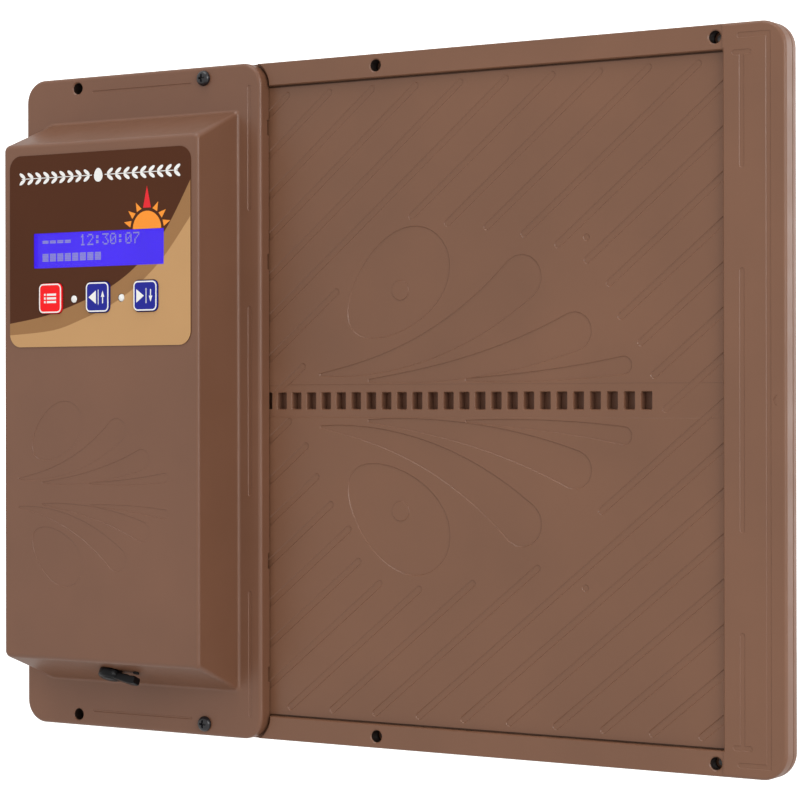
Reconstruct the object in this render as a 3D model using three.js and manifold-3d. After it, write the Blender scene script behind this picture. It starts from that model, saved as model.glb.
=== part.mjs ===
// Automatic coop door: a panel that slides sideways in a flat frame, driven by a rack and a pinion
// in a control box.
// Millimetres. +X is to the viewer's right, +Y goes into the coop wall, +Z is up.
// The origin is the centre of the closed door's bounding box.

import * as THREE from 'three';
import { mergeVertices } from 'three/addons/utils/BufferGeometryUtils.js';
import Module from 'manifold-3d';

const wasm = await Module();
wasm.setup();

// ---------------------------------------------------------------- driving dimensions
const HALF_WIDTH = 168; // whole product
const HALF_HEIGHT = 131;
const REAR_Y = 18.8; // face that lies on the wall
const RAIL_Y = 10; // front face of the top and bottom rails
const JAMB_Y = 9.6; // front face of the right-hand jamb
const FRAME_CORNER = 9.5;
const REAR_FRAME_Y = 15.6; // front face of the rear frame
const WINDOW_HALF_HEIGHT = 121.9; // opening between the two rails
const JAMB_X = 143.9; // inner edge of the jamb
const DOORWAY = { left: -48, right: 141, halfHeight: 119 };
const GAP = 0.3; // air between neighbouring pieces
const WALL = 2.2; // moulded wall thickness

const MOUNT_HOLE = { xs: [-141, 0, 141], z: 126.5, radius: 2.3, rearRadius: 1.5 };

const PANEL = { left: -114, right: 150, halfHeight: 123.2, front: 12.2, back: 15.2 };
const CHANNEL = { right: 151, halfHeight: 123.5, front: 11.9 };
const RACK = { pitch: 6.86, slots: 32, lastX: 113, width: 4.4, height: 6.5, floor: 16.3 };
const RACK_RIB = { left: -112, right: 121, halfHeight: 6.5, back: 17.1 };

const PINION = { teeth: 10, slot: 30, y: 2.2, rootR: 8.4, tipR: 12.8, halfThickness: 2.9 };
const PITCH_R = (RACK.pitch * PINION.teeth) / (2 * Math.PI);
const PINION_X = RACK.lastX - PINION.slot * RACK.pitch;
const SHAFT_R = 1.5;

const FLANGE = { left: -168, right: -50.3, front: 6.1, back: 11.9, corner: 9 };
const BOX_BASE = { left: -160.4, right: -60.9, halfHeight: 112.3 };
const BOX_FACE = { left: -159.5, right: -62.5, halfHeight: 101.9, y: -17.7 };
const FLANGE_SCREW = { x: -77.3, z: 126.3 };

const LABEL = { left: -156.1, right: -65.8, bottom: 21.5, top: 97.7, front: -18, back: -17.75, corner: 5.5 };
const DISPLAY = { x: -111.2, z: 59.65, halfWidth: 32.5, halfHeight: 6.9 };
const BUTTONS = { menu: -134.7, open: -110.9, close: -87.3 };
const BUTTON = { z: 40.7, halfWidth: 5.8, halfHeight: 5.95, corner: 2.2, front: -18.8 };
const INDICATORS = { left: -123.2, right: -99.5 };
const INDICATOR = { z: 40.2, radius: 1.5 };
const BOARD_Y = { front: -4.5, back: -2.9 };

const PORT = { x: -112.6, y: -8, hinge: 13.6, anchor: 12.4 };

// ---------------------------------------------------------------- colours
const FINISHES = {
  brown: { color: 0x805c4c, roughness: 0.42, metalness: 0 },
  labelInk: { color: 0x56301e, roughness: 0.35, metalness: 0 },
  clear: { color: 0xdfe6ef, roughness: 0.05, metalness: 0 },
  blueGlass: { color: 0x4228ff, roughness: 0.2, metalness: 0 },
  red: { color: 0xfa1920, roughness: 0.4, metalness: 0 },
  blue: { color: 0x262a96, roughness: 0.4, metalness: 0 },
  white: { color: 0xf4f4f2, roughness: 0.4, metalness: 0 },
  black: { color: 0x141414, roughness: 0.6, metalness: 0 },
  board: { color: 0x1d5a36, roughness: 0.5, metalness: 0 },
  steel: { color: 0xb9bcc0, roughness: 0.3, metalness: 1 },
  brass: { color: 0xb8954a, roughness: 0.35, metalness: 1 },
  darkSteel: { color: 0x1b1b1d, roughness: 0.35, metalness: 1 },
};

const model = new THREE.Group();

function add(name, geometry, finish) {
  const mesh = new THREE.Mesh(geometry, new THREE.MeshStandardMaterial(FINISHES[finish]));
  mesh.name = name;
  model.add(mesh);
}

// ---------------------------------------------------------------- shape helpers
function solid(geometry) {
  const bare = geometry.clone();
  bare.deleteAttribute('normal');
  bare.deleteAttribute('uv');
  const merged = mergeVertices(bare);
  const mesh = new wasm.Mesh({
    numProp: 3,
    vertProperties: merged.attributes.position.array,
    triVerts: new Uint32Array(merged.index.array),
  });
  return new wasm.Manifold(mesh);
}

function geometryOf(manifold) {
  const mesh = manifold.getMesh();
  return new THREE.BufferGeometry()
    .setAttribute('position', new THREE.BufferAttribute(mesh.vertProperties, 3))
    .setIndex(new THREE.BufferAttribute(mesh.triVerts, 1));
}

const join = (first, ...rest) =>
  geometryOf(rest.reduce((whole, piece) => whole.add(solid(piece)), solid(first)));
const cut = (first, ...tools) =>
  geometryOf(tools.reduce((whole, tool) => whole.subtract(solid(tool)), solid(first)));

const box = (x0, x1, y0, y1, z0, z1) =>
  new THREE.BoxGeometry(x1 - x0, y1 - y0, z1 - z0).translate((x0 + x1) / 2, (y0 + y1) / 2, (z0 + z1) / 2);

const rodY = (x, z, y0, y1, radius, segments = 16) =>
  new THREE.CylinderGeometry(radius, radius, y1 - y0, segments).translate(x, (y0 + y1) / 2, z);
const rodZ = (x, y, z0, z1, radius, segments = 16) =>
  new THREE.CylinderGeometry(radius, radius, z1 - z0, segments)
    .rotateX(Math.PI / 2)
    .translate(x, y, (z0 + z1) / 2);

// A rectangle with round corners, in the plane of the two coordinates given.
function roundedRect(left, right, bottom, top, radius) {
  const shape = new THREE.Shape();
  shape.absarc(right - radius, top - radius, radius, 0, Math.PI / 2);
  shape.absarc(left + radius, top - radius, radius, Math.PI / 2, Math.PI);
  shape.absarc(left + radius, bottom + radius, radius, Math.PI, Math.PI * 1.5);
  shape.absarc(right - radius, bottom + radius, radius, Math.PI * 1.5, Math.PI * 2);
  return shape;
}

// Extrudes a shape drawn in X and Z along Y.
const plate = (shape, y0, y1, curveSegments = 4) =>
  new THREE.ExtrudeGeometry(shape, { depth: y1 - y0, bevelEnabled: false, curveSegments })
    .rotateX(Math.PI / 2)
    .translate(0, y1, 0);
// Extrudes a shape drawn in X and Y along Z.
const column = (shape, z0, z1, curveSegments = 4) =>
  new THREE.ExtrudeGeometry(shape, { depth: z1 - z0, bevelEnabled: false, curveSegments }).translate(0, 0, z0);

const roundedPlate = (left, right, bottom, top, radius, y0, y1) =>
  plate(roundedRect(left, right, bottom, top, radius), y0, y1);

// A block whose front and back rectangles differ: { left, right, halfHeight } at yFront and at yBack.
function taperedBlock(frontRect, yFront, backRect, yBack) {
  const corners = [frontRect, backRect].flatMap((rect, end) =>
    [
      [rect.left, -rect.halfHeight],
      [rect.right, -rect.halfHeight],
      [rect.right, rect.halfHeight],
      [rect.left, rect.halfHeight],
    ].flatMap(([x, z]) => [x, end ? yBack : yFront, z]),
  );
  const quads = [[0, 1, 2, 3], [7, 6, 5, 4], [0, 4, 5, 1], [1, 5, 6, 2], [2, 6, 7, 3], [3, 7, 4, 0]];
  const index = quads.flatMap(([a, b, c, d]) => [a, b, c, a, c, d]);
  return new THREE.BufferGeometry()
    .setAttribute('position', new THREE.BufferAttribute(new Float32Array(corners), 3))
    .setIndex(index);
}

// Turns a profile of [radius, height] pairs about a line along Y.
const turned = (profile, x, z, segments = 12) =>
  new THREE.LatheGeometry(profile.map(([r, y]) => new THREE.Vector2(r, y)), segments).translate(x, 0, z);

// A round lead along a smooth curve through the given points.
function lead(points, radius) {
  const steps = 24;
  const path = new THREE.CatmullRomCurve3(points.map((p) => new THREE.Vector3(...p)));
  const section = new THREE.Shape();
  section.absarc(0, 0, radius, 0, Math.PI * 2);
  const settings = { steps, extrudePath: path, curveSegments: 4, bevelEnabled: false };
  return new THREE.ExtrudeGeometry(section, settings);
}

const bothSigns = [1, -1];

// ---------------------------------------------------------------- frame
const frameOutline = () =>
  roundedRect(-HALF_WIDTH, HALF_WIDTH, -HALF_HEIGHT, HALF_HEIGHT, FRAME_CORNER);

const mountHoles = (radius) =>
  MOUNT_HOLE.xs.flatMap((x) =>
    bothSigns.map((side) => rodY(x, side * MOUNT_HOLE.z, -20, 30, radius)),
  );

const FRAME_SCREW = { headR: 2.7, shankR: 1.3, tipY: 12.9, headDepth: 1.4 };
const FRAME_SCREW_SPOTS = [[70, 127.3], [159.5, 62], [159.5, -62], [70, -127.3]];

// A countersunk screw whose flat head is flush with faceY and whose tip points to -Y;
// grow widens it into its hole.
function countersunk(x, z, faceY, size, grow = 0) {
  return turned(
    [
      [0, size.tipY - grow],
      [size.shankR + grow, size.tipY - grow],
      [size.shankR + grow, faceY - size.headDepth],
      [size.headR + grow, faceY - 0.05],
      [size.headR + grow, grow ? faceY + 1 : faceY - 0.01],
      [0, grow ? faceY + 1 : faceY - 0.01],
    ],
    x,
    z,
  );
}

function rearFrame() {
  const opening = box(DOORWAY.left, DOORWAY.right, 10, 25, -DOORWAY.halfHeight, DOORWAY.halfHeight);
  const ribHalf = RACK_RIB.halfHeight + 2 * GAP;
  const ribChannel = box(-200, DOORWAY.left + 1, 10, RACK_RIB.back + GAP, -ribHalf, ribHalf);
  const screws = FRAME_SCREW_SPOTS.map(([x, z]) => countersunk(x, z, REAR_Y, FRAME_SCREW, 0.2));
  const holes = [...mountHoles(MOUNT_HOLE.rearRadius), ...screws];
  return cut(plate(frameOutline(), REAR_FRAME_Y, REAR_Y), opening, ribChannel, ...holes);
}

function frontFrame() {
  const back = REAR_FRAME_Y - GAP;
  const rails = cut(plate(frameOutline(), RAIL_Y, back), box(JAMB_X + 1, 200, 0, 30, -200, 200));
  const jamb = cut(plate(frameOutline(), JAMB_Y, back), box(-200, JAMB_X, 0, 30, -200, 200));
  const window = box(-200, JAMB_X, 0, 30, -WINDOW_HALF_HEIGHT, WINDOW_HALF_HEIGHT);
  const channel = box(-200, CHANNEL.right, CHANNEL.front, 30, -CHANNEL.halfHeight, CHANNEL.halfHeight);
  const edge = 3 * GAP;
  const flangeSeat = roundedPlate(
    FLANGE.left - 20,
    FLANGE.right + edge,
    -HALF_HEIGHT - edge,
    HALF_HEIGHT + edge,
    FLANGE.corner + edge,
    0,
    FLANGE.back + GAP,
  );
  const flangePilots = bothSigns.map((side) => rodY(FLANGE_SCREW.x, side * FLANGE_SCREW.z, 0, 15, 1.7));
  const screws = FRAME_SCREW_SPOTS.map(([x, z]) => rodY(x, z, FRAME_SCREW.tipY - 0.3, 20, 1.55));
  const holes = [...mountHoles(MOUNT_HOLE.radius), ...flangePilots, ...screws];
  return cut(join(rails, jamb), window, channel, flangeSeat, ...holes);
}

add('rear_frame', rearFrame(), 'brown');
add('front_frame', frontFrame(), 'brown');
FRAME_SCREW_SPOTS.forEach(([x, z], i) => {
  add(`frame_screw_${i + 1}`, countersunk(x, z, REAR_Y, FRAME_SCREW), 'darkSteel');
});

// ---------------------------------------------------------------- sliding door panel
function doorPanel() {
  const sheet = box(PANEL.left, PANEL.right, PANEL.front, PANEL.back, -PANEL.halfHeight, PANEL.halfHeight);
  const rib = box(
    RACK_RIB.left,
    RACK_RIB.right,
    PANEL.back - 1,
    RACK_RIB.back,
    -RACK_RIB.halfHeight,
    RACK_RIB.halfHeight,
  );
  const pockets = Array.from({ length: RACK.slots }, (_, k) => {
    const x = RACK.lastX - k * RACK.pitch;
    return box(x - RACK.width / 2, x + RACK.width / 2, 10, RACK.floor, -RACK.height / 2, RACK.height / 2);
  });
  return cut(join(sheet, rib), ...pockets);
}

add('door_panel', doorPanel(), 'brown');

// ---------------------------------------------------------------- control box housing
const boxHalfHeightAt = (y) =>
  BOX_FACE.halfHeight +
  ((BOX_BASE.halfHeight - BOX_FACE.halfHeight) * (y - BOX_FACE.y)) / (FLANGE.front - BOX_FACE.y);

// The bottom wall's own frame at the power port: x to the right, z straight out of the sloping wall.
const wallSlope = new THREE.Vector2(
  FLANGE.front - BOX_FACE.y,
  BOX_BASE.halfHeight - BOX_FACE.halfHeight,
).normalize();
const portOut = new THREE.Vector3(0, -wallSlope.y, -wallSlope.x);
const portAcross = new THREE.Vector3().crossVectors(portOut, new THREE.Vector3(1, 0, 0));
const portPlace = new THREE.Matrix4()
  .makeBasis(new THREE.Vector3(1, 0, 0), portAcross, portOut)
  .setPosition(PORT.x, PORT.y, -boxHalfHeightAt(PORT.y));
const atPort = (geometry) => geometry.applyMatrix4(portPlace);

const COVER_SCREW = { headR: 2.3, shankR: 1.15, tipY: 7.1, headDepth: 1.2 };
const COVER_SCREW_SPOTS = [[-150, 117.2], [-70, 117.2], [-70, -117.2], [-150, -117.2]];
const BOARD_SCREW_SPOTS = [[-151, 88], [-71.5, 88]];
const WINDOW_PANE = { halfWidth: 34.8, halfHeight: 9.15, front: -17.65, back: -16.9 };

function housing() {
  const inner = (rect) => ({
    left: rect.left + WALL,
    right: rect.right - WALL,
    halfHeight: rect.halfHeight - WALL,
  });
  const flangeBack = FLANGE.front + WALL;
  const { left, right, corner, front, back } = FLANGE;
  const flange = roundedPlate(left, right, -HALF_HEIGHT, HALF_HEIGHT, corner, front, back);
  const underside = roundedPlate(
    FLANGE.left + WALL,
    FLANGE.right - WALL,
    WALL - HALF_HEIGHT,
    HALF_HEIGHT - WALL,
    FLANGE.corner - WALL,
    flangeBack,
    20,
  );
  const block = taperedBlock(BOX_FACE, BOX_FACE.y, BOX_BASE, FLANGE.front + 1);
  const hollow = taperedBlock(inner(BOX_FACE), BOX_FACE.y + WALL, inner(BOX_BASE), flangeBack + 0.5);
  const bosses = [
    ...bothSigns.map((side) => rodY(MOUNT_HOLE.xs[0], side * MOUNT_HOLE.z, flangeBack - 1, FLANGE.back, 4.2)),
    ...bothSigns.map((side) => rodY(FLANGE_SCREW.x, side * FLANGE_SCREW.z, flangeBack - 1, FLANGE.back, 3.6)),
    ...COVER_SCREW_SPOTS.map(([x, z]) => rodY(x, z, flangeBack - 1, 8.9, 2.5, 10)),
    ...BOARD_SCREW_SPOTS.map(([x, z]) => rodY(x, z, BOX_FACE.y + 1, BOARD_Y.front - GAP, 2.8, 10)),
  ];
  const openings = [
    box(
      DISPLAY.x - WINDOW_PANE.halfWidth - GAP,
      DISPLAY.x + WINDOW_PANE.halfWidth + GAP,
      -20,
      -10,
      DISPLAY.z - WINDOW_PANE.halfHeight - GAP,
      DISPLAY.z + WINDOW_PANE.halfHeight + GAP,
    ),
    ...Object.values(BUTTONS).map((x) => buttonOutline(x, GAP, -20, -10)),
    ...Object.values(INDICATORS).map((x) => rodY(x, INDICATOR.z, -20, -10, INDICATOR.radius + 0.2, 12)),
    ...bothSigns.map((side) => rodY(FLANGE_SCREW.x, side * FLANGE_SCREW.z, 0, 20, 1.7)),
    ...COVER_SCREW_SPOTS.map(([x, z]) => rodY(x, z, COVER_SCREW.tipY - 0.2, 20, 1.4, 10)),
    ...BOARD_SCREW_SPOTS.map(([x, z]) => rodY(x, z, -12.3, 0, 1.2, 10)),
    ...[106, 54, -62, -106].map((z) => box(right - 1.4, right + 1, back - 1.2, 20, z - 3, z + 3)),
    atPort(rodZ(0, 0, -5, 5, 4.4)),
    atPort(rodZ(PORT.anchor, 0, -5, 5, 1.1, 12)),
    ...mountHoles(MOUNT_HOLE.radius),
  ];
  const shell = cut(join(cut(flange, underside), block), hollow);
  return cut(join(shell, ...bosses), ...openings);
}

// The outline of one push button, widened by grow, from y0 to y1.
function buttonOutline(x, grow, y0, y1) {
  return roundedPlate(
    x - BUTTON.halfWidth - grow,
    x + BUTTON.halfWidth + grow,
    BUTTON.z - BUTTON.halfHeight - grow,
    BUTTON.z + BUTTON.halfHeight + grow,
    BUTTON.corner + grow,
    y0,
    y1,
  );
}

add('housing', housing(), 'brown');

// Black pan-head screw with a cross recess, from the front through the flange into the frame.
function flangeScrew(z) {
  const seat = FLANGE.front;
  const head = turned(
    [
      [0, seat - 2.1],
      [1.5, seat - 2],
      [2.5, seat - 1.4],
      [3, seat - 0.5],
      [3, seat - 0.05],
      [1.4, seat - 0.05],
      [1.4, 14.6],
      [0, 14.6],
    ],
    FLANGE_SCREW.x,
    z,
  );
  const x = FLANGE_SCREW.x;
  const recess = [
    box(x - 1.7, x + 1.7, seat - 3, seat - 1, z - 0.35, z + 0.35),
    box(x - 0.35, x + 0.35, seat - 3, seat - 1, z - 1.7, z + 1.7),
  ];
  return cut(head, ...recess);
}

add('flange_screw_top', flangeScrew(FLANGE_SCREW.z), 'darkSteel');
add('flange_screw_bottom', flangeScrew(-FLANGE_SCREW.z), 'darkSteel');

// ---------------------------------------------------------------- back cover of the control box
const COVER = { left: -163.5, right: -57.5, halfHeight: 120.5, front: 9.1, back: 11.1 };
const PILLAR = { halfWidth: 5, front: -2, bottom: 6, top: 10 };
const BRACKET = { halfWidth: 14, bottom: -31, top: -10, screwX: 11, screwZ: -20.5 };
const SHAFT_HOLE_R = SHAFT_R + 0.1;
const BUSH_R = 2.6;

function backCover() {
  const { left, right, halfHeight, front, back } = COVER;
  const sheet = roundedPlate(left, right, -halfHeight, halfHeight, 5, front, back);
  const pillar = box(
    PINION_X - PILLAR.halfWidth,
    PINION_X + PILLAR.halfWidth,
    PILLAR.front,
    COVER.front + 1,
    PILLAR.bottom,
    PILLAR.top,
  );
  const cutters = [
    box(PINION_X - 12.2, PINION_X + 12.2, 8, 13, -4.6, 4.6),
    rodZ(PINION_X, PINION.y, 0, 20, BUSH_R + 0.15),
    ...COVER_SCREW_SPOTS.map(([x, z]) => countersunk(x, z, COVER.back, COVER_SCREW, 0.2)),
    ...bothSigns.map((side) => rodY(PINION_X + side * BRACKET.screwX, BRACKET.screwZ, 8, 13, 1.15, 12)),
  ];
  return cut(join(sheet, pillar), ...cutters);
}

const GASKET = { left: -162.6, right: -58.7, halfHeight: 114, width: 1.7, front: 8.4, back: 9 };

// The gasket's outline drawn in by inset, from y0 to y1.
const gasketPlate = (inset, y0, y1) =>
  roundedPlate(
    GASKET.left + inset,
    GASKET.right - inset,
    inset - GASKET.halfHeight,
    GASKET.halfHeight - inset,
    4 - inset,
    y0,
    y1,
  );

add('back_cover', backCover(), 'brown');
add('cover_gasket', cut(gasketPlate(0, GASKET.front, GASKET.back), gasketPlate(GASKET.width, 0, 20)), 'black');
COVER_SCREW_SPOTS.forEach(([x, z], i) => {
  add(`cover_screw_${i + 1}`, countersunk(x, z, COVER.back, COVER_SCREW), 'steel');
});

// ---------------------------------------------------------------- front label, window and buttons
function labelOverlay() {
  const { left, right, bottom, top, corner, front, back } = LABEL;
  const sheet = roundedPlate(left, right, bottom, top, corner, front, back);
  const viewport = box(
    DISPLAY.x - DISPLAY.halfWidth,
    DISPLAY.x + DISPLAY.halfWidth,
    -20,
    -10,
    DISPLAY.z - DISPLAY.halfHeight,
    DISPLAY.z + DISPLAY.halfHeight,
  );
  const buttonHoles = Object.values(BUTTONS).map((x) => buttonOutline(x, GAP, -20, -10));
  const indicatorHoles = Object.values(INDICATORS).map((x) =>
    rodY(x, INDICATOR.z, -20, -10, INDICATOR.radius + 0.1, 12),
  );
  return cut(sheet, viewport, ...buttonHoles, ...indicatorHoles);
}

// A block centred on the display, from y0 to y1.
const displayBlock = (halfWidth, halfHeight, y0, y1) =>
  box(DISPLAY.x - halfWidth, DISPLAY.x + halfWidth, y0, y1, DISPLAY.z - halfHeight, DISPLAY.z + halfHeight);
const displayLayer = ({ halfWidth, halfHeight, front, back }) =>
  displayBlock(halfWidth, halfHeight, front, back);

add('label_overlay', labelOverlay(), 'labelInk');
add('display_window', displayLayer(WINDOW_PANE), 'clear');

const SWITCH = { halfWidth: 3, front: -8.3, wellRadius: 2, wellFloor: -6.5 };
const PLUNGER = { radius: 1.7, front: -13.9, back: -7.6 };
const SKIRT = { halfWidth: 6.5, halfHeight: 6.6, front: -15.2, back: -14.2 };

// A block behind the button at x, from y0 to y1.
const behindButton = (x, halfWidth, halfHeight, y0, y1) =>
  box(x - halfWidth, x + halfWidth, y0, y1, BUTTON.z - halfHeight, BUTTON.z + halfHeight);

function pushButton(x) {
  const cap = buttonOutline(x, 0, BUTTON.front, -14.5);
  return join(cap, behindButton(x, SKIRT.halfWidth, SKIRT.halfHeight, SKIRT.front, SKIRT.back));
}

function tactSwitch(x) {
  const body = behindButton(x, SWITCH.halfWidth, SWITCH.halfWidth, SWITCH.front, BOARD_Y.front - GAP);
  return cut(body, rodY(x, BUTTON.z, -10, SWITCH.wellFloor, SWITCH.wellRadius, 12));
}

for (const [name, x] of Object.entries(BUTTONS)) {
  add(`button_${name}`, pushButton(x), name === 'menu' ? 'red' : 'blue');
  add(`plunger_${name}`, rodY(x, BUTTON.z, PLUNGER.front, PLUNGER.back, PLUNGER.radius, 12), 'black');
  add(`switch_${name}`, tactSwitch(x), 'steel');
}

const LEG = { offset: 0.9, half: 0.25 };

function indicatorLamp(x) {
  const legs = bothSigns
    .map((side) => x + side * LEG.offset)
    .map((at) => {
      const { half } = LEG;
      return box(at - half, at + half, -14, BOARD_Y.front - GAP, INDICATOR.z - half, INDICATOR.z + half);
    });
  return join(rodY(x, INDICATOR.z, -18.2, -13.5, INDICATOR.radius, 12), ...legs);
}

for (const [name, x] of Object.entries(INDICATORS)) add(`indicator_${name}`, indicatorLamp(x), 'white');

// ---------------------------------------------------------------- display module and boards
const GLASS = { halfWidth: 34.4, halfHeight: 8.8, front: -16.6, back: -13.9 };
const BACKLIGHT = { halfWidth: 34.5, halfHeight: 10.2, front: GLASS.back + GAP, back: -9.2 };
const BEZEL = { halfWidth: 35.8, halfHeight: 11.4, front: -14.9, back: -9, sheet: 0.7 };
const DISPLAY_BOARD = { halfWidth: 40, front: -8.7, back: -7.1, bottom: 48, top: 80.5 };
const HEADER = {
  halfWidth: 20,
  front: DISPLAY_BOARD.back + GAP,
  back: BOARD_Y.front - GAP,
  bottom: 76.5,
  top: 79,
};

function displayBezel() {
  const { halfWidth, halfHeight, front, sheet } = BEZEL;
  const hollow = displayBlock(halfWidth - sheet, halfHeight - sheet, front + sheet, 0);
  const window = displayBlock(GLASS.halfWidth + GAP, GLASS.halfHeight + GAP, -20, -10);
  return cut(displayLayer(BEZEL), hollow, window);
}

// A block across the display's middle line.
const acrossDisplay = ({ halfWidth, front, back, bottom, top }) =>
  box(DISPLAY.x - halfWidth, DISPLAY.x + halfWidth, front, back, bottom, top);

add('display_bezel', displayBezel(), 'darkSteel');
add('display_glass', displayLayer(GLASS), 'blueGlass');
add('display_backlight', displayLayer(BACKLIGHT), 'white');
add('display_board', acrossDisplay(DISPLAY_BOARD), 'board');
add('display_header', acrossDisplay(HEADER), 'black');

const boardHoles = () => BOARD_SCREW_SPOTS.map(([x, z]) => rodY(x, z, -10, 5, 1.3));
const MAIN_BOARD = { left: -155, right: -67.5, bottom: 26, top: 93 };
const MOTOR_PLUG = { x: -140, z: 31 };
const POWER_PLUG = { x: -82, z: 31 };
const CELL = { x: -135, z: 72, radius: 6.25, front: -1.3, back: 1.2 };
const MOUNTED_Y = BOARD_Y.back + GAP; // where parts on the board's rear face start

// A block on the rear face of the board, centred on x and z and standing height off it.
const onBoard = (x, z, width, length, height) =>
  box(x - width / 2, x + width / 2, MOUNTED_Y, MOUNTED_Y + height, z - length / 2, z + length / 2);

function mainBoard() {
  const { left, right, bottom, top } = MAIN_BOARD;
  return cut(box(left, right, BOARD_Y.front, BOARD_Y.back, bottom, top), ...boardHoles());
}

add('main_board', mainBoard(), 'board');
add('controller_chip', onBoard(-111, 57, 14, 14, 1.6), 'black');
add('driver_chip', onBoard(-95, 35, 10, 6, 1.7), 'black');
add('motor_connector', onBoard(MOTOR_PLUG.x, MOTOR_PLUG.z, 8, 6, 5), 'white');
add('power_connector', onBoard(POWER_PLUG.x, POWER_PLUG.z, 8, 6, 5), 'white');
const cellHolder = cut(
  rodY(CELL.x, CELL.z, MOUNTED_Y, MOUNTED_Y + 3.2, CELL.radius + 1.75),
  rodY(CELL.x, CELL.z, CELL.front - GAP, 2, CELL.radius + GAP),
);
add('clock_cell_holder', cellHolder, 'black');
add('clock_cell', rodY(CELL.x, CELL.z, CELL.front, CELL.back, CELL.radius), 'steel');

BOARD_SCREW_SPOTS.forEach(([x, z], i) => {
  const profile = [[0, -11.8], [1, -11.8], [1, MOUNTED_Y], [2.1, MOUNTED_Y], [2.1, -1.4], [0, -1.2]];
  add(`board_screw_${i + 1}`, turned(profile, x, z), 'steel');
});

// ---------------------------------------------------------------- rack drive
// Each tooth is given by its half thickness at the root, pitch and tip radii.
function pinionOutline() {
  const flank = [[PINION.rootR, 2], [PITCH_R, 1.5], [PINION.tipR, 0.75]];
  const points = [];
  for (let tooth = 0; tooth < PINION.teeth; tooth += 1) {
    const middle = Math.PI / 2 + (tooth * Math.PI * 2) / PINION.teeth;
    const side = (sign) => ([r, half]) => {
      const angle = middle + (sign * half) / r;
      return new THREE.Vector2(PINION_X + r * Math.cos(angle), PINION.y + r * Math.sin(angle));
    };
    points.push(...flank.map(side(-1)), ...flank.slice().reverse().map(side(1)));
  }
  return new THREE.Shape(points);
}

const SET_SCREW_Z = -5.5;
const setScrewRod = (radius, y0, y1) => rodY(PINION_X, SET_SCREW_Z, y0, y1, radius, 12);

function pinion() {
  const teeth = column(pinionOutline(), -PINION.halfThickness, PINION.halfThickness);
  const hub = rodZ(PINION_X, PINION.y, -7.6, 5.2, 4.2);
  return cut(join(teeth, hub), rodZ(PINION_X, PINION.y, -20, 20, SHAFT_HOLE_R), setScrewRod(1.05, -5, 1));
}

const bush = () =>
  cut(
    rodZ(PINION_X, PINION.y, PILLAR.bottom + 0.2, PILLAR.top - 0.2, BUSH_R),
    rodZ(PINION_X, PINION.y, 0, 20, SHAFT_HOLE_R),
  );
const clip = () =>
  cut(rodZ(PINION_X, PINION.y, 10.6, 11.3, 3, 12), rodZ(PINION_X, PINION.y, 0, 20, SHAFT_HOLE_R));

const GEARBOX = { bottom: -17.5, top: -8.5, halfWidth: 6, halfDepth: 5 };
const motorSection = () =>
  roundedRect(PINION_X - 6, PINION_X + 6, PINION.y - 5, PINION.y + 5, 4.4);

function gearbox() {
  const block = box(
    PINION_X - GEARBOX.halfWidth,
    PINION_X + GEARBOX.halfWidth,
    PINION.y - GEARBOX.halfDepth,
    PINION.y + GEARBOX.halfDepth,
    GEARBOX.bottom,
    GEARBOX.top,
  );
  return cut(block, rodZ(PINION_X, PINION.y, -13.4, 0, SHAFT_R + 0.25));
}

// The bracket is an arch over the motor with a screw ear on each side.
function motorBracket() {
  const { bottom, top, halfWidth, screwX, screwZ } = BRACKET;
  const ears = box(PINION_X - halfWidth, PINION_X + halfWidth, 6.9, 8.9, bottom, top);
  const arch = box(PINION_X - 8.2, PINION_X + 8.2, -5.2, 8.9, bottom, top);
  const hollow = box(PINION_X - 6.3, PINION_X + 6.3, -3.3, 10, bottom - 1, top + 1);
  const holes = bothSigns.map((side) => rodY(PINION_X + side * screwX, screwZ, 5, 10, 1.2, 12));
  return cut(join(ears, arch), hollow, ...holes);
}

add('drive_shaft', rodZ(PINION_X, PINION.y, -13, 12.4, SHAFT_R), 'steel');
add('pinion', pinion(), 'white');
add('pinion_set_screw', setScrewRod(0.85, -2.1, 0.3), 'darkSteel');
add('shaft_bush', bush(), 'brass');
add('shaft_clip', clip(), 'darkSteel');
add('gearbox', gearbox(), 'brass');
add('motor_can', column(motorSection(), -32.6, GEARBOX.bottom - GAP), 'steel');
add('motor_end_cap', column(motorSection(), -34.8, -32.9), 'black');
add('motor_bracket', motorBracket(), 'white');
bothSigns.forEach((side) => {
  const profile = [[0, 5.4], [2, 5.5], [2, 6.8], [0.95, 6.8], [0.95, 10.7], [0, 10.7]];
  const name = side > 0 ? 'bracket_screw_right' : 'bracket_screw_left';
  add(name, turned(profile, PINION_X + side * BRACKET.screwX, BRACKET.screwZ), 'steel');
});

// ---------------------------------------------------------------- power port
function powerSocket() {
  const barrel = join(rodZ(0, 0, -12.5, -0.4, 4.1), rodZ(0, 0, -6, -3.8, 6, 6));
  return atPort(cut(barrel, rodZ(0, 0, -9, 1, 3)));
}

// Domed rubber cap with a plug on its underside and a thick strap that ends over its anchor.
function portCap() {
  const plug = [[0, -1.8], [2.6, -1.8], [2.6, 0.3]];
  const dome = [[4.8, 0.3], [4.8, 2.4], [4.2, 3.3], [2.6, 3.9], [0, 4]];
  const cap = turned([...plug, ...dome], 0, 0).rotateX(Math.PI / 2);
  const strap = new THREE.Shape();
  strap.moveTo(3.4, 1);
  strap.lineTo(9.6, 1.3);
  strap.quadraticCurveTo(10.2, 1.9, 11, 1.9);
  strap.lineTo(PORT.hinge, 1.9);
  strap.lineTo(PORT.hinge, 4.4);
  strap.lineTo(PORT.hinge - 0.7, 5.1);
  strap.quadraticCurveTo(9, 4.8, 3.4, 3.4);
  const band = new THREE.ExtrudeGeometry(strap, { depth: 4, bevelEnabled: false, curveSegments: 5 })
    .rotateX(Math.PI / 2)
    .translate(0, 2, 0);
  return atPort(join(cap, band));
}

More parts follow.
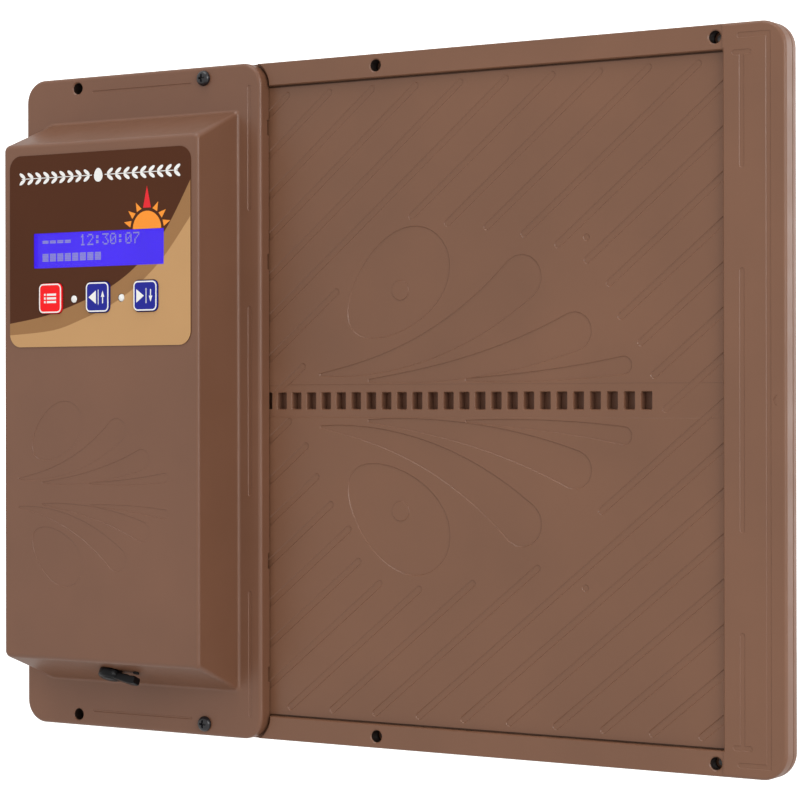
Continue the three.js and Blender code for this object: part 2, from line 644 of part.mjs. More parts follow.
const portAnchor = () =>
  atPort(join(rodZ(PORT.anchor, 0, 0.25, 0.8, 1.3, 16), rodZ(PORT.anchor, 0, -3.2, 0.5, 0.85, 10)));

add('power_socket', powerSocket(), 'black');
add('power_pin', atPort(rodZ(0, 0, -8.7, -2.4, 0.9, 12)), 'brass');
add('port_cap', portCap(), 'black');
add('port_cap_anchor', portAnchor(), 'black');

// ---------------------------------------------------------------- leads held inside the control box
const socketEnd = new THREE.Vector3(0, 0, -13.2).applyMatrix4(portPlace);
const pastSocket = new THREE.Vector3(0, 0, -19).applyMatrix4(portPlace);
const PLUG_END = 27.6; // height of the lower ends of the two board connectors
const motorRoute = [
  [MOTOR_PLUG.x, 0, PLUG_END],
  [MOTOR_PLUG.x, 0, 12],
  [-136, 1, -18],
  [-121, 2, -42],
  [-104, 2, -48],
  [PINION_X - 1, PINION.y, -44],
  [PINION_X, PINION.y, -35.2],
];
const powerRoute = [
  socketEnd.toArray(),
  pastSocket.toArray(),
  [-100, 0, -74],
  [-78, 0, -50],
  [-73, 0, -10],
  [-79, 0, 14],
  [POWER_PLUG.x, 0, PLUG_END],
];
add('motor_lead', lead(motorRoute, 1.1), 'black');
add('power_lead', lead(powerRoute, 1.3), 'black');

export default model;
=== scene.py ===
# Visual model of an automatic coop door: detailed shells, label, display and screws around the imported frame.
# Shapes are drawn in millimetres in the frame's own axes: +X right, +Y into the wall, +Z up.
# Each finished piece is then scaled to metres.
import math

import bmesh
import bpy
from mathutils import Matrix, Vector


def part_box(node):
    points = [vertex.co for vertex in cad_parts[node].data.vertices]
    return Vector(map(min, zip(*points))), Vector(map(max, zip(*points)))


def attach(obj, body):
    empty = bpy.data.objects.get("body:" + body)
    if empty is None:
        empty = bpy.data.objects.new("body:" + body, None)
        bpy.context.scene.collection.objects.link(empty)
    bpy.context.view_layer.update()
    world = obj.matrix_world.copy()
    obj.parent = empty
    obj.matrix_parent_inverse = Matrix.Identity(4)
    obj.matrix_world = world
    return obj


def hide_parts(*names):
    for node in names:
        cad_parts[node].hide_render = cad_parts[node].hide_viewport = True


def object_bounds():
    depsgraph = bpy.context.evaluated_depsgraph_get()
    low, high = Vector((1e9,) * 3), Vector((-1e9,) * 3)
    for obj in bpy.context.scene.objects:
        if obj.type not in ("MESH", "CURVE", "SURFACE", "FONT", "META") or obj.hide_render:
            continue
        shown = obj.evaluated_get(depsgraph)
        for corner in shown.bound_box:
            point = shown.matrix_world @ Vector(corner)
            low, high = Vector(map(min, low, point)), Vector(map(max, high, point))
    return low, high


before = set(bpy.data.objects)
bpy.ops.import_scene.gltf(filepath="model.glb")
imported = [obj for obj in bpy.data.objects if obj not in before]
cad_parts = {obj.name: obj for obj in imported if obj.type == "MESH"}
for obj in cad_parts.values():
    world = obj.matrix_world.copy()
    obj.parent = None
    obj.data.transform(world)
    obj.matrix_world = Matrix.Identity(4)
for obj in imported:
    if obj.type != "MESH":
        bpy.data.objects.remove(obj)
cad_low, cad_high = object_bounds()

MM = 0.001
BEYOND = 200.0  # X or Z past every edge of the object, for cutters that run out of it
AHEAD, BEHIND = -20.0, 30.0  # Y clear of the object, in front and behind

# ------------------------ dimensions of the shells, in millimetres
HALF_WIDTH, HALF_HEIGHT = 168.0, 131.0
FRAME_CORNER = 9.5
JAMB_Y, RAIL_Y, FRONT_BACK_Y = 9.6, 10.0, 15.3
REAR_FRONT_Y, REAR_Y = 15.6, 18.8
JAMB_X, WINDOW_HALF = 143.9, 121.9
DOORWAY_LEFT, DOORWAY_RIGHT, DOORWAY_HALF = -48.0, 141.0, 119.0
CHANNEL_RIGHT, CHANNEL_FRONT, CHANNEL_HALF = 151.0, 11.9, 123.5
RIB_CHANNEL_BACK, RIB_CHANNEL_HALF = 17.4, 7.1
HOLE_XS, HOLE_Z, HOLE_R, REAR_HOLE_R = (-141.0, 0.0, 141.0), 126.5, 2.3, 1.5
FRAME_SCREWS = ((70.0, 127.3), (159.5, 62.0), (159.5, -62.0), (70.0, -127.3))
FRAME_SCREW_BORE_R, FRAME_SCREW_BORE_Y = 1.55, 12.6
COVER_SCREWS = ((-150.0, 117.2), (-70.0, 117.2), (-70.0, -117.2), (-150.0, -117.2))

PANEL_LEFT, PANEL_RIGHT, PANEL_HALF = -114.0, 150.0, 123.2
PANEL_FRONT, PANEL_BACK = 12.2, 15.2
SLOT_LAST_X, SLOT_PITCH, SLOT_COUNT = 113.0, 6.86, 32
SLOT_WIDTH, SLOT_HEIGHT, SLOT_FLOOR = 4.2, 6.3, 16.3
SLOT_BAND_HALF = 6.3
RIB_LEFT, RIB_RIGHT, RIB_HALF = -112.0, 121.0, 6.5
REBATE_INNER, REBATE_OUTER, REBATE_DEPTH = 121.25, 130.0, 1.5

FLANGE_LEFT, FLANGE_RIGHT, FLANGE_CORNER = -168.0, -50.3, 9.0
FLANGE_FRONT, FLANGE_BACK = 6.1, 11.9
BASE_LEFT, BASE_RIGHT, BASE_HALF = -160.4, -60.9, 112.3
FACE_LEFT, FACE_RIGHT, FACE_HALF, FACE_Y = -159.5, -62.5, 101.9, -17.7
WALL = 2.2
BOX_EDGE = 1.3
FLANGE_SCREW_X, FLANGE_SCREW_Z, FLANGE_SCREW_BORE_R = -77.3, 126.3, 1.7

LABEL_LEFT, LABEL_RIGHT, LABEL_BOTTOM, LABEL_TOP, LABEL_CORNER = -156.1, -65.8, 21.5, 97.7, 5.5
LABEL_FRONT, LABEL_BACK = -18.0, -17.75
DISPLAY_X, DISPLAY_Z, DISPLAY_HALF_W, DISPLAY_HALF_H = -111.2, 59.65, 32.5, 6.9
BUTTONS = {"menu": -134.7, "open": -110.9, "close": -87.3}
BUTTON_Z, BUTTON_HALF_W, BUTTON_HALF_H, BUTTON_CORNER, BUTTON_FRONT = 40.7, 5.8, 5.95, 2.2, -18.8
INDICATORS = {"left": -123.2, "right": -99.5}
INDICATOR_Z, INDICATOR_R = 40.2, 1.5


# ------------------------ materials
def new_material(name):
    material = bpy.data.materials.new(name)
    material.use_nodes = True
    tree = material.node_tree
    return material, tree, tree.nodes["Principled BSDF"]


def noise(tree, scale, detail=2.0, stretch=(1, 1, 1)):
    """A noise texture fixed to the piece, at scale cycles per metre."""
    coordinates = tree.nodes.new("ShaderNodeTexCoord")
    mapping = tree.nodes.new("ShaderNodeMapping")
    mapping.inputs["Scale"].default_value = stretch
    texture = tree.nodes.new("ShaderNodeTexNoise")
    texture.inputs["Scale"].default_value = scale
    texture.inputs["Detail"].default_value = detail
    tree.links.new(coordinates.outputs["Object"], mapping.inputs["Vector"])
    tree.links.new(mapping.outputs["Vector"], texture.inputs["Vector"])
    return texture.outputs["Fac"]


def ramp(tree, factor, low, high, start=0.3, end=0.7):
    node = tree.nodes.new("ShaderNodeMapRange")
    node.inputs["From Min"].default_value = start
    node.inputs["From Max"].default_value = end
    node.inputs["To Min"].default_value = low
    node.inputs["To Max"].default_value = high
    tree.links.new(factor, node.inputs["Value"])
    return node.outputs["Result"]


def tint(tree, factor, first, second):
    node = tree.nodes.new("ShaderNodeMix")
    node.data_type = "RGBA"
    node.inputs["A"].default_value = (*first, 1)
    node.inputs["B"].default_value = (*second, 1)
    tree.links.new(factor, node.inputs["Factor"])
    return node.outputs["Result"]


def bump(tree, height, strength, distance, after=None):
    node = tree.nodes.new("ShaderNodeBump")
    node.inputs["Strength"].default_value = strength
    node.inputs["Distance"].default_value = distance
    tree.links.new(height, node.inputs["Height"])
    if after:
        tree.links.new(after, node.inputs["Normal"])
    return node.outputs["Normal"]


def moulded(name, colour, roughness, variation=0.06, grain=0.12, metallic=0.0, specular=0.5):
    """Moulded plastic, rubber or plated metal: drifting colour, mottled gloss and a fine surface grain."""
    material, tree, shader = new_material(name)
    darker = tuple(c * (1 - variation) for c in colour)
    lighter = tuple(min(1, c * (1 + variation)) for c in colour)
    drift = ramp(tree, noise(tree, 22, 4), 0, 1)
    tree.links.new(tint(tree, drift, darker, lighter), shader.inputs["Base Color"])
    gloss = ramp(tree, noise(tree, 90, 5), roughness - 0.05, roughness + 0.05)
    tree.links.new(gloss, shader.inputs["Roughness"])
    slow = bump(tree, noise(tree, 45, 2), 0.25, 0.0004)
    fine = bump(tree, noise(tree, 2600, 2), grain, 0.00012, after=slow)
    tree.links.new(fine, shader.inputs["Normal"])
    shader.inputs["Metallic"].default_value = metallic
    shader.inputs["Specular IOR Level"].default_value = specular
    return material


BROWN = (0.185, 0.083, 0.044)
frame_brown = moulded("frame_brown", BROWN, 0.4)
panel_brown = moulded("panel_brown", (0.183, 0.082, 0.043), 0.38)
housing_brown = moulded("housing_brown", (0.180, 0.080, 0.044), 0.38)
# near-black walls for the bores: painted shade, so that the holes read dark
bore_painted_shade = moulded("bore_painted_shade", (0.02, 0.011, 0.008), 0.6, specular=0.15)
# slot pocket walls and floors, a little darker and less glossy than the panel: painted shade inside the
# pockets
slot_painted_shade = moulded("slot_painted_shade", (0.175, 0.08, 0.047), 0.4, specular=0.4)
label_dark = moulded("label_dark", (0.078, 0.024, 0.009), 0.42, 0.04, 0.05, specular=0.12)
label_mid = moulded("label_mid", (0.33, 0.17, 0.068), 0.42, 0.03, 0.05, specular=0.15)
label_light = moulded("label_light", (0.53, 0.305, 0.135), 0.42, 0.03, 0.05, specular=0.15)
print_white = moulded("print_white", (0.86, 0.86, 0.84), 0.45, 0.02, 0.04)
print_orange = moulded("print_orange", (0.95, 0.29, 0.012), 0.45, 0.04, 0.04)
print_red = moulded("print_red", (0.78, 0.02, 0.03), 0.45, 0.04, 0.04, specular=0.2)
button_red = moulded("button_red", (0.93, 0.01, 0.014), 0.36, 0.03, 0.05, specular=0.15)
button_blue = moulded("button_blue", (0.016, 0.02, 0.29), 0.36, 0.04, 0.05, specular=0.15)
white_plastic = moulded("white_plastic", (0.84, 0.84, 0.82), 0.35, 0.02, 0.05)
black_plastic = moulded("black_plastic", (0.012, 0.012, 0.013), 0.45, 0.1, 0.12)
rubber = moulded("rubber", (0.004, 0.004, 0.005), 0.3, 0.15, 0.2, specular=0.2)
circuit_board = moulded("circuit_board", (0.012, 0.1, 0.04), 0.4, 0.12, 0.1)
steel = moulded("steel", (0.52, 0.53, 0.55), 0.3, 0.05, 0.1, metallic=1)
black_steel = moulded("black_steel", (0.009, 0.009, 0.012), 0.3, 0.1, 0.08, specular=0.6)
brass = moulded("brass", (0.6, 0.42, 0.14), 0.3, 0.06, 0.1, metallic=1)


def glowing(name, colour, strength, roughness):
    """Backlit display glass: its own blue light, a little uneven, under a smooth surface."""
    material, tree, shader = new_material(name)
    dim = tuple(c * 0.9 for c in colour)
    drift = ramp(tree, noise(tree, 40, 2), 0, 1)
    tree.links.new(tint(tree, drift, dim, colour), shader.inputs["Emission Color"])
    tree.links.new(tint(tree, drift, (0.004, 0.003, 0.03), (0.006, 0.004, 0.04)), shader.inputs["Base Color"])
    tree.links.new(ramp(tree, noise(tree, 300, 3), roughness, roughness + 0.06), shader.inputs["Roughness"])
    shader.inputs["Emission Strength"].default_value = strength
    shader.inputs["Specular IOR Level"].default_value = 0.25
    return material


display_blue = glowing("display_blue", (0.064, 0.021, 0.98), 0.97, 0.2)
display_dots = glowing("display_dots", (0.30, 0.29, 0.60), 1.0, 0.25)


def clear_pane(name):
    material, tree, shader = new_material(name)
    drift = ramp(tree, noise(tree, 60, 2), 0, 1)
    tree.links.new(tint(tree, drift, (0.03, 0.02, 0.25), (0.04, 0.03, 0.3)), shader.inputs["Base Color"])
    tree.links.new(ramp(tree, noise(tree, 200, 3), 0.06, 0.12), shader.inputs["Roughness"])
    shader.inputs["Alpha"].default_value = 0.05
    return material


window_clear = clear_pane("window_clear")


# ------------------------ outlines, as loops of (x, z) points
def rounded(left, right, bottom, top, radii, steps=8):
    """A rectangle with round corners; radii is one number or four, from top right anticlockwise."""
    radii = radii if isinstance(radii, tuple) else (radii,) * 4
    centres = (
        (right - radii[0], top - radii[0]),
        (left + radii[1], top - radii[1]),
        (left + radii[2], bottom + radii[2]),
        (right - radii[3], bottom + radii[3]),
    )
    loop = []
    for corner, (cx, cz) in enumerate(centres):
        for step in range(steps + 1):
            angle = math.pi / 2 * (corner + step / steps)
            loop.append((cx + radii[corner] * math.cos(angle), cz + radii[corner] * math.sin(angle)))
    return loop


def rounded_about(cx, cz, half_w, half_h, radii, steps=8):
    return rounded(cx - half_w, cx + half_w, cz - half_h, cz + half_h, radii, steps)


def rectangle(cx, cz, half_w, half_h):
    left, right, bottom, top = cx - half_w, cx + half_w, cz - half_h, cz + half_h
    return [(right, top), (left, top), (left, bottom), (right, bottom)]


def circle(cx, cz, radius, steps=32):
    turn = 2 * math.pi / steps
    return [(cx + radius * math.cos(turn * k), cz + radius * math.sin(turn * k)) for k in range(steps)]


def capsule(start, end, half_width, steps=6):
    """A slot outline with round ends between two (x, z) points."""
    (x0, z0), (x1, z1) = start, end
    heading = math.atan2(z1 - z0, x1 - x0)
    loop = []
    for (cx, cz), first in (((x1, z1), heading - math.pi / 2), ((x0, z0), heading + math.pi / 2)):
        for step in range(steps + 1):
            angle = first + math.pi * step / steps
            loop.append((cx + half_width * math.cos(angle), cz + half_width * math.sin(angle)))
    return loop


def grow(loop, distance):
    """The anticlockwise loop moved outwards by distance, or inwards where it is negative."""
    moved = []
    count = len(loop)
    for k, (x, z) in enumerate(loop):
        before, after = Vector(loop[k - 1]), Vector(loop[(k + 1) % count])
        here = Vector((x, z))
        first, second = (here - before).normalized(), (after - here).normalized()
        normal = Vector((first.y + second.y, -first.x - second.x))
        if normal.length < 1e-6:
            normal = Vector((first.y, -first.x))
        normal.normalize()
        cosine = max(0.5, normal.dot(Vector((first.y, -first.x))))
        moved.append((x + normal.x * distance / cosine, z + normal.y * distance / cosine))
    return moved


def bezier(start, control, end, steps=14):
    """Points of a quadratic curve, without its last one."""
    points = []
    for k in range(steps):
        t = k / steps
        a, b, c = (1 - t) ** 2, 2 * t * (1 - t), t * t
        x = a * start[0] + b * control[0] + c * end[0]
        z = a * start[1] + b * control[1] + c * end[1]
        points.append((x, z))
    return points


def through(points, steps=8):
    """A smooth curve through the given points."""
    ends = [points[0], *points, points[-1]]
    curve = []
    for k in range(1, len(ends) - 2):
        p0, p1, p2, p3 = (Vector(p) for p in ends[k - 1 : k + 3])
        for step in range(steps):
            t = step / steps
            place = (
                2 * p1
                + (p2 - p0) * t
                + (2 * p0 - 5 * p1 + 4 * p2 - p3) * t * t
                + (3 * p1 - p0 - 3 * p2 + p3) * t * t * t
            ) / 2
            curve.append((place.x, place.y))
    curve.append(points[-1])
    return curve


# ------------------------ closed bodies, as (vertices, faces)
def loft(rings):
    """A closed body through rings of (x, y, z) points, all of one length, with flat ends."""
    count = len(rings[0])
    vertices = [point for ring in rings for point in ring]
    faces = [
        (k * count + i, k * count + (i + 1) % count, (k + 1) * count + (i + 1) % count, (k + 1) * count + i)
        for k in range(len(rings) - 1)
        for i in range(count)
    ]
    last = (len(rings) - 1) * count
    faces += [tuple(range(count)), tuple(last + i for i in range(count))]
    return vertices, faces


def at_y(loop, y):
    return [(x, y, z) for x, z in loop]


def prism(loop, y0, y1):
    return loft([at_y(loop, y0), at_y(loop, y1)])


def flared(loop, surface, depth, slope, above=0.4):
    """A cutter for a shallow recess whose walls lean outwards by slope over its depth."""
    rate = slope / depth
    return loft([at_y(grow(loop, rate * above), surface - above), at_y(grow(loop, -slope), surface + depth)])


def slab(outline, front, back, front_round, back_round, steps=5):
    """A plate with rounded edges; outline(inset) gives its loop, drawn in by inset."""
    angles = [math.pi / 2 * step / steps for step in range(steps + 1)]
    rings = []
    for angle in angles:
        inset, sunk = front_round * (1 - math.sin(angle)), front_round * (1 - math.cos(angle))
        rings.append(at_y(outline(inset), front + sunk))
    for angle in reversed(angles):
        inset, sunk = back_round * (1 - math.sin(angle)), back_round * (1 - math.cos(angle))
        rings.append(at_y(outline(inset), back - sunk))
    return loft(rings)


def turned(profile, x, z, steps=32):
    """A body turned about a line along Y through (x, z), from (radius, y) pairs that stay off the axis."""
    return loft([at_y(circle(x, z, radius, steps), y) for radius, y in profile])


def merged(*bodies):
    vertices, faces = [], []
    for body_vertices, body_faces in bodies:
        start = len(vertices)
        vertices += body_vertices
        faces += [tuple(start + i for i in face) for face in body_faces]
    return vertices, faces


# ------------------------ pieces
WELD = 0.0004  # millimetres within which the points of a finished piece are joined


def make(name, shape, material):
    vertices, faces = shape
    mesh = bpy.data.meshes.new(name)
    mesh.from_pydata([tuple(v) for v in vertices], [], faces)
    tidy = bmesh.new()
    tidy.from_mesh(mesh)
    bmesh.ops.recalc_face_normals(tidy, faces=tidy.faces)
    tidy.to_mesh(mesh)
    tidy.free()
    mesh.materials.append(material)
    piece = bpy.data.objects.new(name, mesh)
    bpy.context.scene.collection.objects.link(piece)
    return piece


def combine(piece, shape, operation, material=None):
    """Cuts the shape from the piece, or adds it, while both are still in millimetres."""
    tool = make("tool", shape, material or piece.data.materials[0])
    step = piece.modifiers.new("step", "BOOLEAN")
    step.operation = operation
    step.solver = "EXACT"
    step.material_mode = "TRANSFER"
    step.object = tool
    solved = bpy.data.meshes.new_from_object(piece.evaluated_get(bpy.context.evaluated_depsgraph_get()))
    piece.modifiers.remove(step)
    spent, tool_mesh = piece.data, tool.data
    piece.data = solved
    bpy.data.meshes.remove(spent)
    bpy.data.objects.remove(tool)
    bpy.data.meshes.remove(tool_mesh)


def cut(piece, shape, material=None):
    combine(piece, shape, "DIFFERENCE", material)


def add(piece, shape, material=None):
    combine(piece, shape, "UNION", material)


def settle(piece, body, replaced=(), crease=32, place=None):
    """Sets a finished piece down in metres, smooths its shading and joins it to its body."""
    mesh = piece.data
    tidy = bmesh.new()
    tidy.from_mesh(mesh)
    bmesh.ops.remove_doubles(tidy, verts=tidy.verts, dist=WELD)
    bmesh.ops.dissolve_degenerate(tidy, dist=WELD, edges=tidy.edges)
    tidy.to_mesh(mesh)
    tidy.free()
    if place:
        mesh.transform(place)
    mesh.transform(Matrix.Scale(MM, 4))
    mesh.name = piece.name
    mesh.polygons.foreach_set("use_smooth", [True] * len(mesh.polygons))
    mesh.set_sharp_from_angle(angle=math.radians(crease))
    normals = piece.modifiers.new("normals", "WEIGHTED_NORMAL")
    normals.keep_sharp = True
    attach(piece, body)
    if replaced:
        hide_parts(*replaced)
    return piece


# ------------------------ ornament: an egg over three plain leaves
EGG_CENTRE, EGG_LONG, EGG_SHORT, EGG_TILT = (8.0, 43.5), 26.0, 17.0, math.radians(39)
EGG_BLUNTNESS = 0.16
EGG_DOT = (9.6, 41.5)
LEAVES = (
    ((-27.0, 10.0), (25.0, 13.0), (62.0, 45.0), 8.6),
    ((-5.0, 7.6), (45.0, 9.5), (84.0, 25.0), 7.2),
    ((38.0, 7.7), (75.0, 8.2), (104.0, 12.6), 3.4),
)
LEAF_ROOT, LEAF_SWELL, LEAF_TIP_STEPS = 0.55, 0.8, 8


def egg(steps=40):
    loop = []
    for k in range(steps):
        angle = 2 * math.pi * k / steps
        along = EGG_LONG * math.cos(angle)
        across = EGG_SHORT * math.sin(angle) * (1 + EGG_BLUNTNESS * math.cos(angle))
        x = EGG_CENTRE[0] + along * math.cos(EGG_TILT) - across * math.sin(EGG_TILT)
        z = EGG_CENTRE[1] + along * math.sin(EGG_TILT) + across * math.cos(EGG_TILT)
        loop.append((x, z))
    return loop


def leaf(root, control, tip, half_width):
    """A leaf that widens from its pointed root to a round tip along a curve."""
    spine = [*bezier(root, control, tip), tip]
    right, left = [], []
    for k, (x, z) in enumerate(spine):
        following = spine[min(k + 1, len(spine) - 1)]
        preceding = spine[max(k - 1, 0)]
        heading = math.atan2(following[1] - preceding[1], following[0] - preceding[0])
        half = LEAF_ROOT + (half_width - LEAF_ROOT) * (k / (len(spine) - 1)) ** LEAF_SWELL
        right.append((x + half * math.sin(heading), z - half * math.cos(heading)))
        left.append((x - half * math.sin(heading), z + half * math.cos(heading)))
    cap = []
    for step in range(1, LEAF_TIP_STEPS):
        angle = heading - math.pi / 2 + math.pi * step / LEAF_TIP_STEPS
        cap.append((tip[0] + half_width * math.cos(angle), tip[1] + half_width * math.sin(angle)))
    return right + cap + left[::-1]


def mirrored(loop, sign):
    return loop if sign > 0 else [(x, -z) for x, z in reversed(loop)]


def placed(loop, scale, dx, dz):
    return [(x * scale + dx, z * scale + dz) for x, z in loop]


def ornament(surface, depth, slope, scale=1.0, dx=0.0, dz=0.0):
    """Cutters for the ornament, above and below its middle line."""
    outlines = [egg(), *(leaf(*values) for values in LEAVES)]
    loops = [placed(mirrored(loop, sign), scale, dx, dz) for sign in (1, -1) for loop in outlines]
    return [flared(loop, surface, depth, slope) for loop in loops]


# ------------------------ screws
# (radius, distance behind the seat) of a pan head with a rolled rim, and of its shank
PAN_DOME = ((0.5, -2.1), (1.3, -2.06), (2.0, -1.86), (2.55, -1.5), (2.88, -1.02))
PAN_RIM = ((3.0, -0.6), (3.0, -0.2), (2.9, -0.05))
PAN_SHANK = ((1.4, -0.05), (1.4, 7.9), (0.6, 8.5))
FRAME_SCREW = {"face": REAR_Y, "head": 2.7, "depth": 1.4, "shank": 1.3, "tip": 12.9}
COVER_SCREW = {"face": 11.1, "head": 2.3, "depth": 1.2, "shank": 1.15, "tip": 7.1}


def drawn_in(loop, x, z, share):
    return [(x + (a - x) * share, z + (b - z) * share) for a, b in loop]


def cross_recess(x, z, top, reach, width, depth):
    """A cross-shaped cutter that narrows as it goes in along +Y from top."""
    arms = []
    for across, along in ((reach, width), (width, reach)):
        mouth = rounded_about(x, z, across, along, min(across, along) * 0.3, 2)
        arms.append(loft([at_y(mouth, top - 0.3), at_y(drawn_in(mouth, x, z, 0.62), top + depth)]))
    return arms


def pan_head(name, x, z, seat, body, node):
    """Black pan-head screw: domed head with a rolled rim, cross recess and a plain shank."""
    profile = [(radius, seat + y) for radius, y in PAN_DOME + PAN_RIM + PAN_SHANK]
    piece = make(name, turned(profile, x, z), black_steel)
    for arm in cross_recess(x, z, profile[0][1], reach=1.75, width=0.42, depth=1.25):
        cut(piece, arm)
    return settle(piece, body, (node,), crease=40)


def flat_head(name, x, z, material, slot, node, face, head, depth, shank, tip):
    """Countersunk screw seen from the wall side, its recess opening towards +Y."""
    profile = [(shank * 0.5, tip), (shank, tip + 0.7), (shank, face - depth)]
    profile += [(head, face - 0.2), (head, face - 0.06), (head - 0.1, face - 0.01)]
    piece = make(name, turned(profile, x, z, 28), material)
    reach, width = 0.6 * head, 0.13 * head
    for across, along in ((reach, width), (width, reach)):
        mouth = rounded_about(x, z, across, along, 0.1, 2)
        cut(piece, loft([at_y(drawn_in(mouth, x, z, 0.6), face - depth * 0.9), at_y(mouth, face + 0.3)]))
    return settle(piece, "frame", (node,), crease=40)


# ------------------------ camera
CAMERA_PLACE = (0.5393, -0.8194, 0.0003)
CAMERA_YAW, CAMERA_ROLL = math.radians(32.5), math.radians(-0.1)
camera_data = bpy.data.cameras.new("camera")
camera_data.lens, camera_data.sensor_width = 118.1, 36.0
camera_data.clip_start, camera_data.clip_end = 0.05, 50
camera = bpy.data.objects.new("camera", camera_data)
bpy.context.scene.collection.objects.link(camera)
camera.matrix_world = (
    Matrix.Translation(CAMERA_PLACE)
    @ Matrix.Rotation(CAMERA_YAW, 4, "Z")
    @ Matrix.Rotation(math.pi / 2, 4, "X")
    @ Matrix.Rotation(CAMERA_ROLL, 4, "Z")
)
bpy.context.scene.camera = camera


# ------------------------ frame shells
# rolled edges of the openings, as (widening, y) from the front
WINDOW_EDGE = ((1.3, 8.9), (0.75, 9.6), (0.3, 10.05), (0.05, 10.5), (0, 11), (0, BEHIND))
SEAT_EDGE = ((1.6, 8.6), (1.0, 9.7), (0.45, 10.1), (0.1, 10.6), (0, 11.1), (0, FLANGE_BACK + 0.3))
DOORWAY_EDGE = ((0, 10), (0, 17.6), (0.15, 18.2), (0.6, 18.8), (1.4, 19.6))
SEAT_GAP = 0.9
JAMB_MARK_X, JAMB_LINE_X, JAMB_LINE_END, JAMB_TURN_Z = 151.4, 161.4, 125.8, 126.4


def frame_outline(inset):
    half_w, half_h = HALF_WIDTH - inset, HALF_HEIGHT - inset
    return rounded(-half_w, half_w, -half_h, half_h, FRAME_CORNER - inset, 12)


def box(x0, x1, y0, y1, z0, z1):
    return prism([(x1, z1), (x0, z1), (x0, z0), (x1, z0)], y0, y1)


def hole_lip(x, z, surface, radius, lip=0.45):
    """A cutter for the sunk rim of a hole."""
    rim = radius + lip
    return turned([(rim + 0.5, surface - 0.5), (rim, surface), (radius + 0.02, surface + 0.4)], x, z)


def bore(x, z, radius, start=AHEAD):
    return turned([(radius, start), (radius, BEHIND)], x, z)


def front_frame():
    piece = make("frame_front", slab(frame_outline, JAMB_Y, FRONT_BACK_Y, 1.3, 0.3), frame_brown)
    step = [(JAMB_X + 0.25, BEYOND), (-BEYOND, BEYOND), (-BEYOND, -BEYOND), (JAMB_X + 0.25, -BEYOND)]
    lower = [(JAMB_X, BEYOND), (-BEYOND, BEYOND), (-BEYOND, -BEYOND), (JAMB_X, -BEYOND)]
    cut(piece, loft([at_y(grow(step, 1.0), JAMB_Y - 1.2), at_y(step, JAMB_Y), at_y(lower, RAIL_Y)]))
    window = []
    for widen, y in WINDOW_EDGE:
        half = WINDOW_HALF + widen
        window.append(at_y(rounded(-BEYOND, JAMB_X + widen, -half, half, 0.5, 3), y))
    cut(piece, loft(window))
    cut(piece, box(-BEYOND, CHANNEL_RIGHT, CHANNEL_FRONT, BEHIND, -CHANNEL_HALF, CHANNEL_HALF))
    seat = []
    for widen, y in SEAT_EDGE:
        edge = SEAT_GAP + widen
        half = HALF_HEIGHT + edge
        loop = rounded(FLANGE_LEFT - 20, FLANGE_RIGHT + edge, -half, half, FLANGE_CORNER + edge, 12)
        seat.append(at_y(loop, y))
    cut(piece, loft(seat))
    cut(piece, merged(*(hole_lip(x, s * HOLE_Z, RAIL_Y, HOLE_R) for x in HOLE_XS[1:] for s in (1, -1))))
    holes = [bore(x, s * HOLE_Z, HOLE_R) for x in HOLE_XS for s in (1, -1)]
    holes += [bore(FLANGE_SCREW_X, s * FLANGE_SCREW_Z, FLANGE_SCREW_BORE_R) for s in (1, -1)]
    holes += [bore(x, z, FRAME_SCREW_BORE_R, FRAME_SCREW_BORE_Y) for x, z in FRAME_SCREWS]
    # the bore walls take the near-black painted shade
    cut(piece, merged(*holes), bore_painted_shade)
    # moulded marks on the jamb: three short lines, two of them with a cross bar at their outer end,
    # and a long line that turns in at both ends
    runs = [capsule((JAMB_MARK_X, -45), (JAMB_MARK_X, 45), 1.0)]
    runs += [capsule((JAMB_LINE_X, -JAMB_LINE_END), (JAMB_LINE_X, JAMB_LINE_END), 1.0)]
    runs += [capsule((JAMB_MARK_X, 81.5 * s), (JAMB_MARK_X, 120.5 * s), 1.0) for s in (1, -1)]
    cut(piece, merged(*(flared(loop, JAMB_Y, 0.22, 0.22) for loop in runs)))
    bars = [capsule((148.6, 120.5 * s), (154.2, 120.5 * s), 1.0) for s in (1, -1)]
    bars += [capsule((150.5, JAMB_TURN_Z * s), (JAMB_LINE_X, JAMB_TURN_Z * s), 1.0) for s in (1, -1)]
    cut(piece, merged(*(flared(loop, JAMB_Y, 0.2, 0.2) for loop in bars)))
    crescent = [(164.7, 1.9), (163.6, 1.3), (163.1, 0), (163.6, -1.3)]
    crescent += [(164.7, -1.9), (164.0, -0.9), (163.8, 0), (164.0, 0.9)]
    cut(piece, flared(crescent, JAMB_Y, 0.15, 0.1))
    return settle(piece, "frame", ("front_frame",))


def rear_frame():
    piece = make("frame_rear", slab(frame_outline, REAR_FRONT_Y, REAR_Y, 0.3, 0.9), frame_brown)
    doorway = []
    for widen, y in DOORWAY_EDGE:
        half = DOORWAY_HALF + widen
        loop = rounded(DOORWAY_LEFT - widen, DOORWAY_RIGHT + widen, -half, half, 1.5, 4)
        doorway.append(at_y(loop, y))
    cut(piece, loft(doorway))
    cut(piece, box(-BEYOND, DOORWAY_LEFT + 1, 10, RIB_CHANNEL_BACK, -RIB_CHANNEL_HALF, RIB_CHANNEL_HALF))
    countersink = [(1.5, 10), (1.5, 17.2), (2.9, 18.7), (2.95, 20)]
    seats = [turned(countersink, x, z, 28) for x, z in FRAME_SCREWS]
    rim = [(REAR_HOLE_R, 18), (REAR_HOLE_R + 0.02, 18.4), (REAR_HOLE_R + 0.9, 19.3)]
    seats += [turned(rim, x, s * HOLE_Z) for x in HOLE_XS for s in (1, -1)]
    cut(piece, merged(*seats))
    # the bore walls take the near-black painted shade
    cut(piece, merged(*(bore(x, s * HOLE_Z, REAR_HOLE_R) for x in HOLE_XS for s in (1, -1))), bore_painted_shade)
    return settle(piece, "frame", ("rear_frame",))


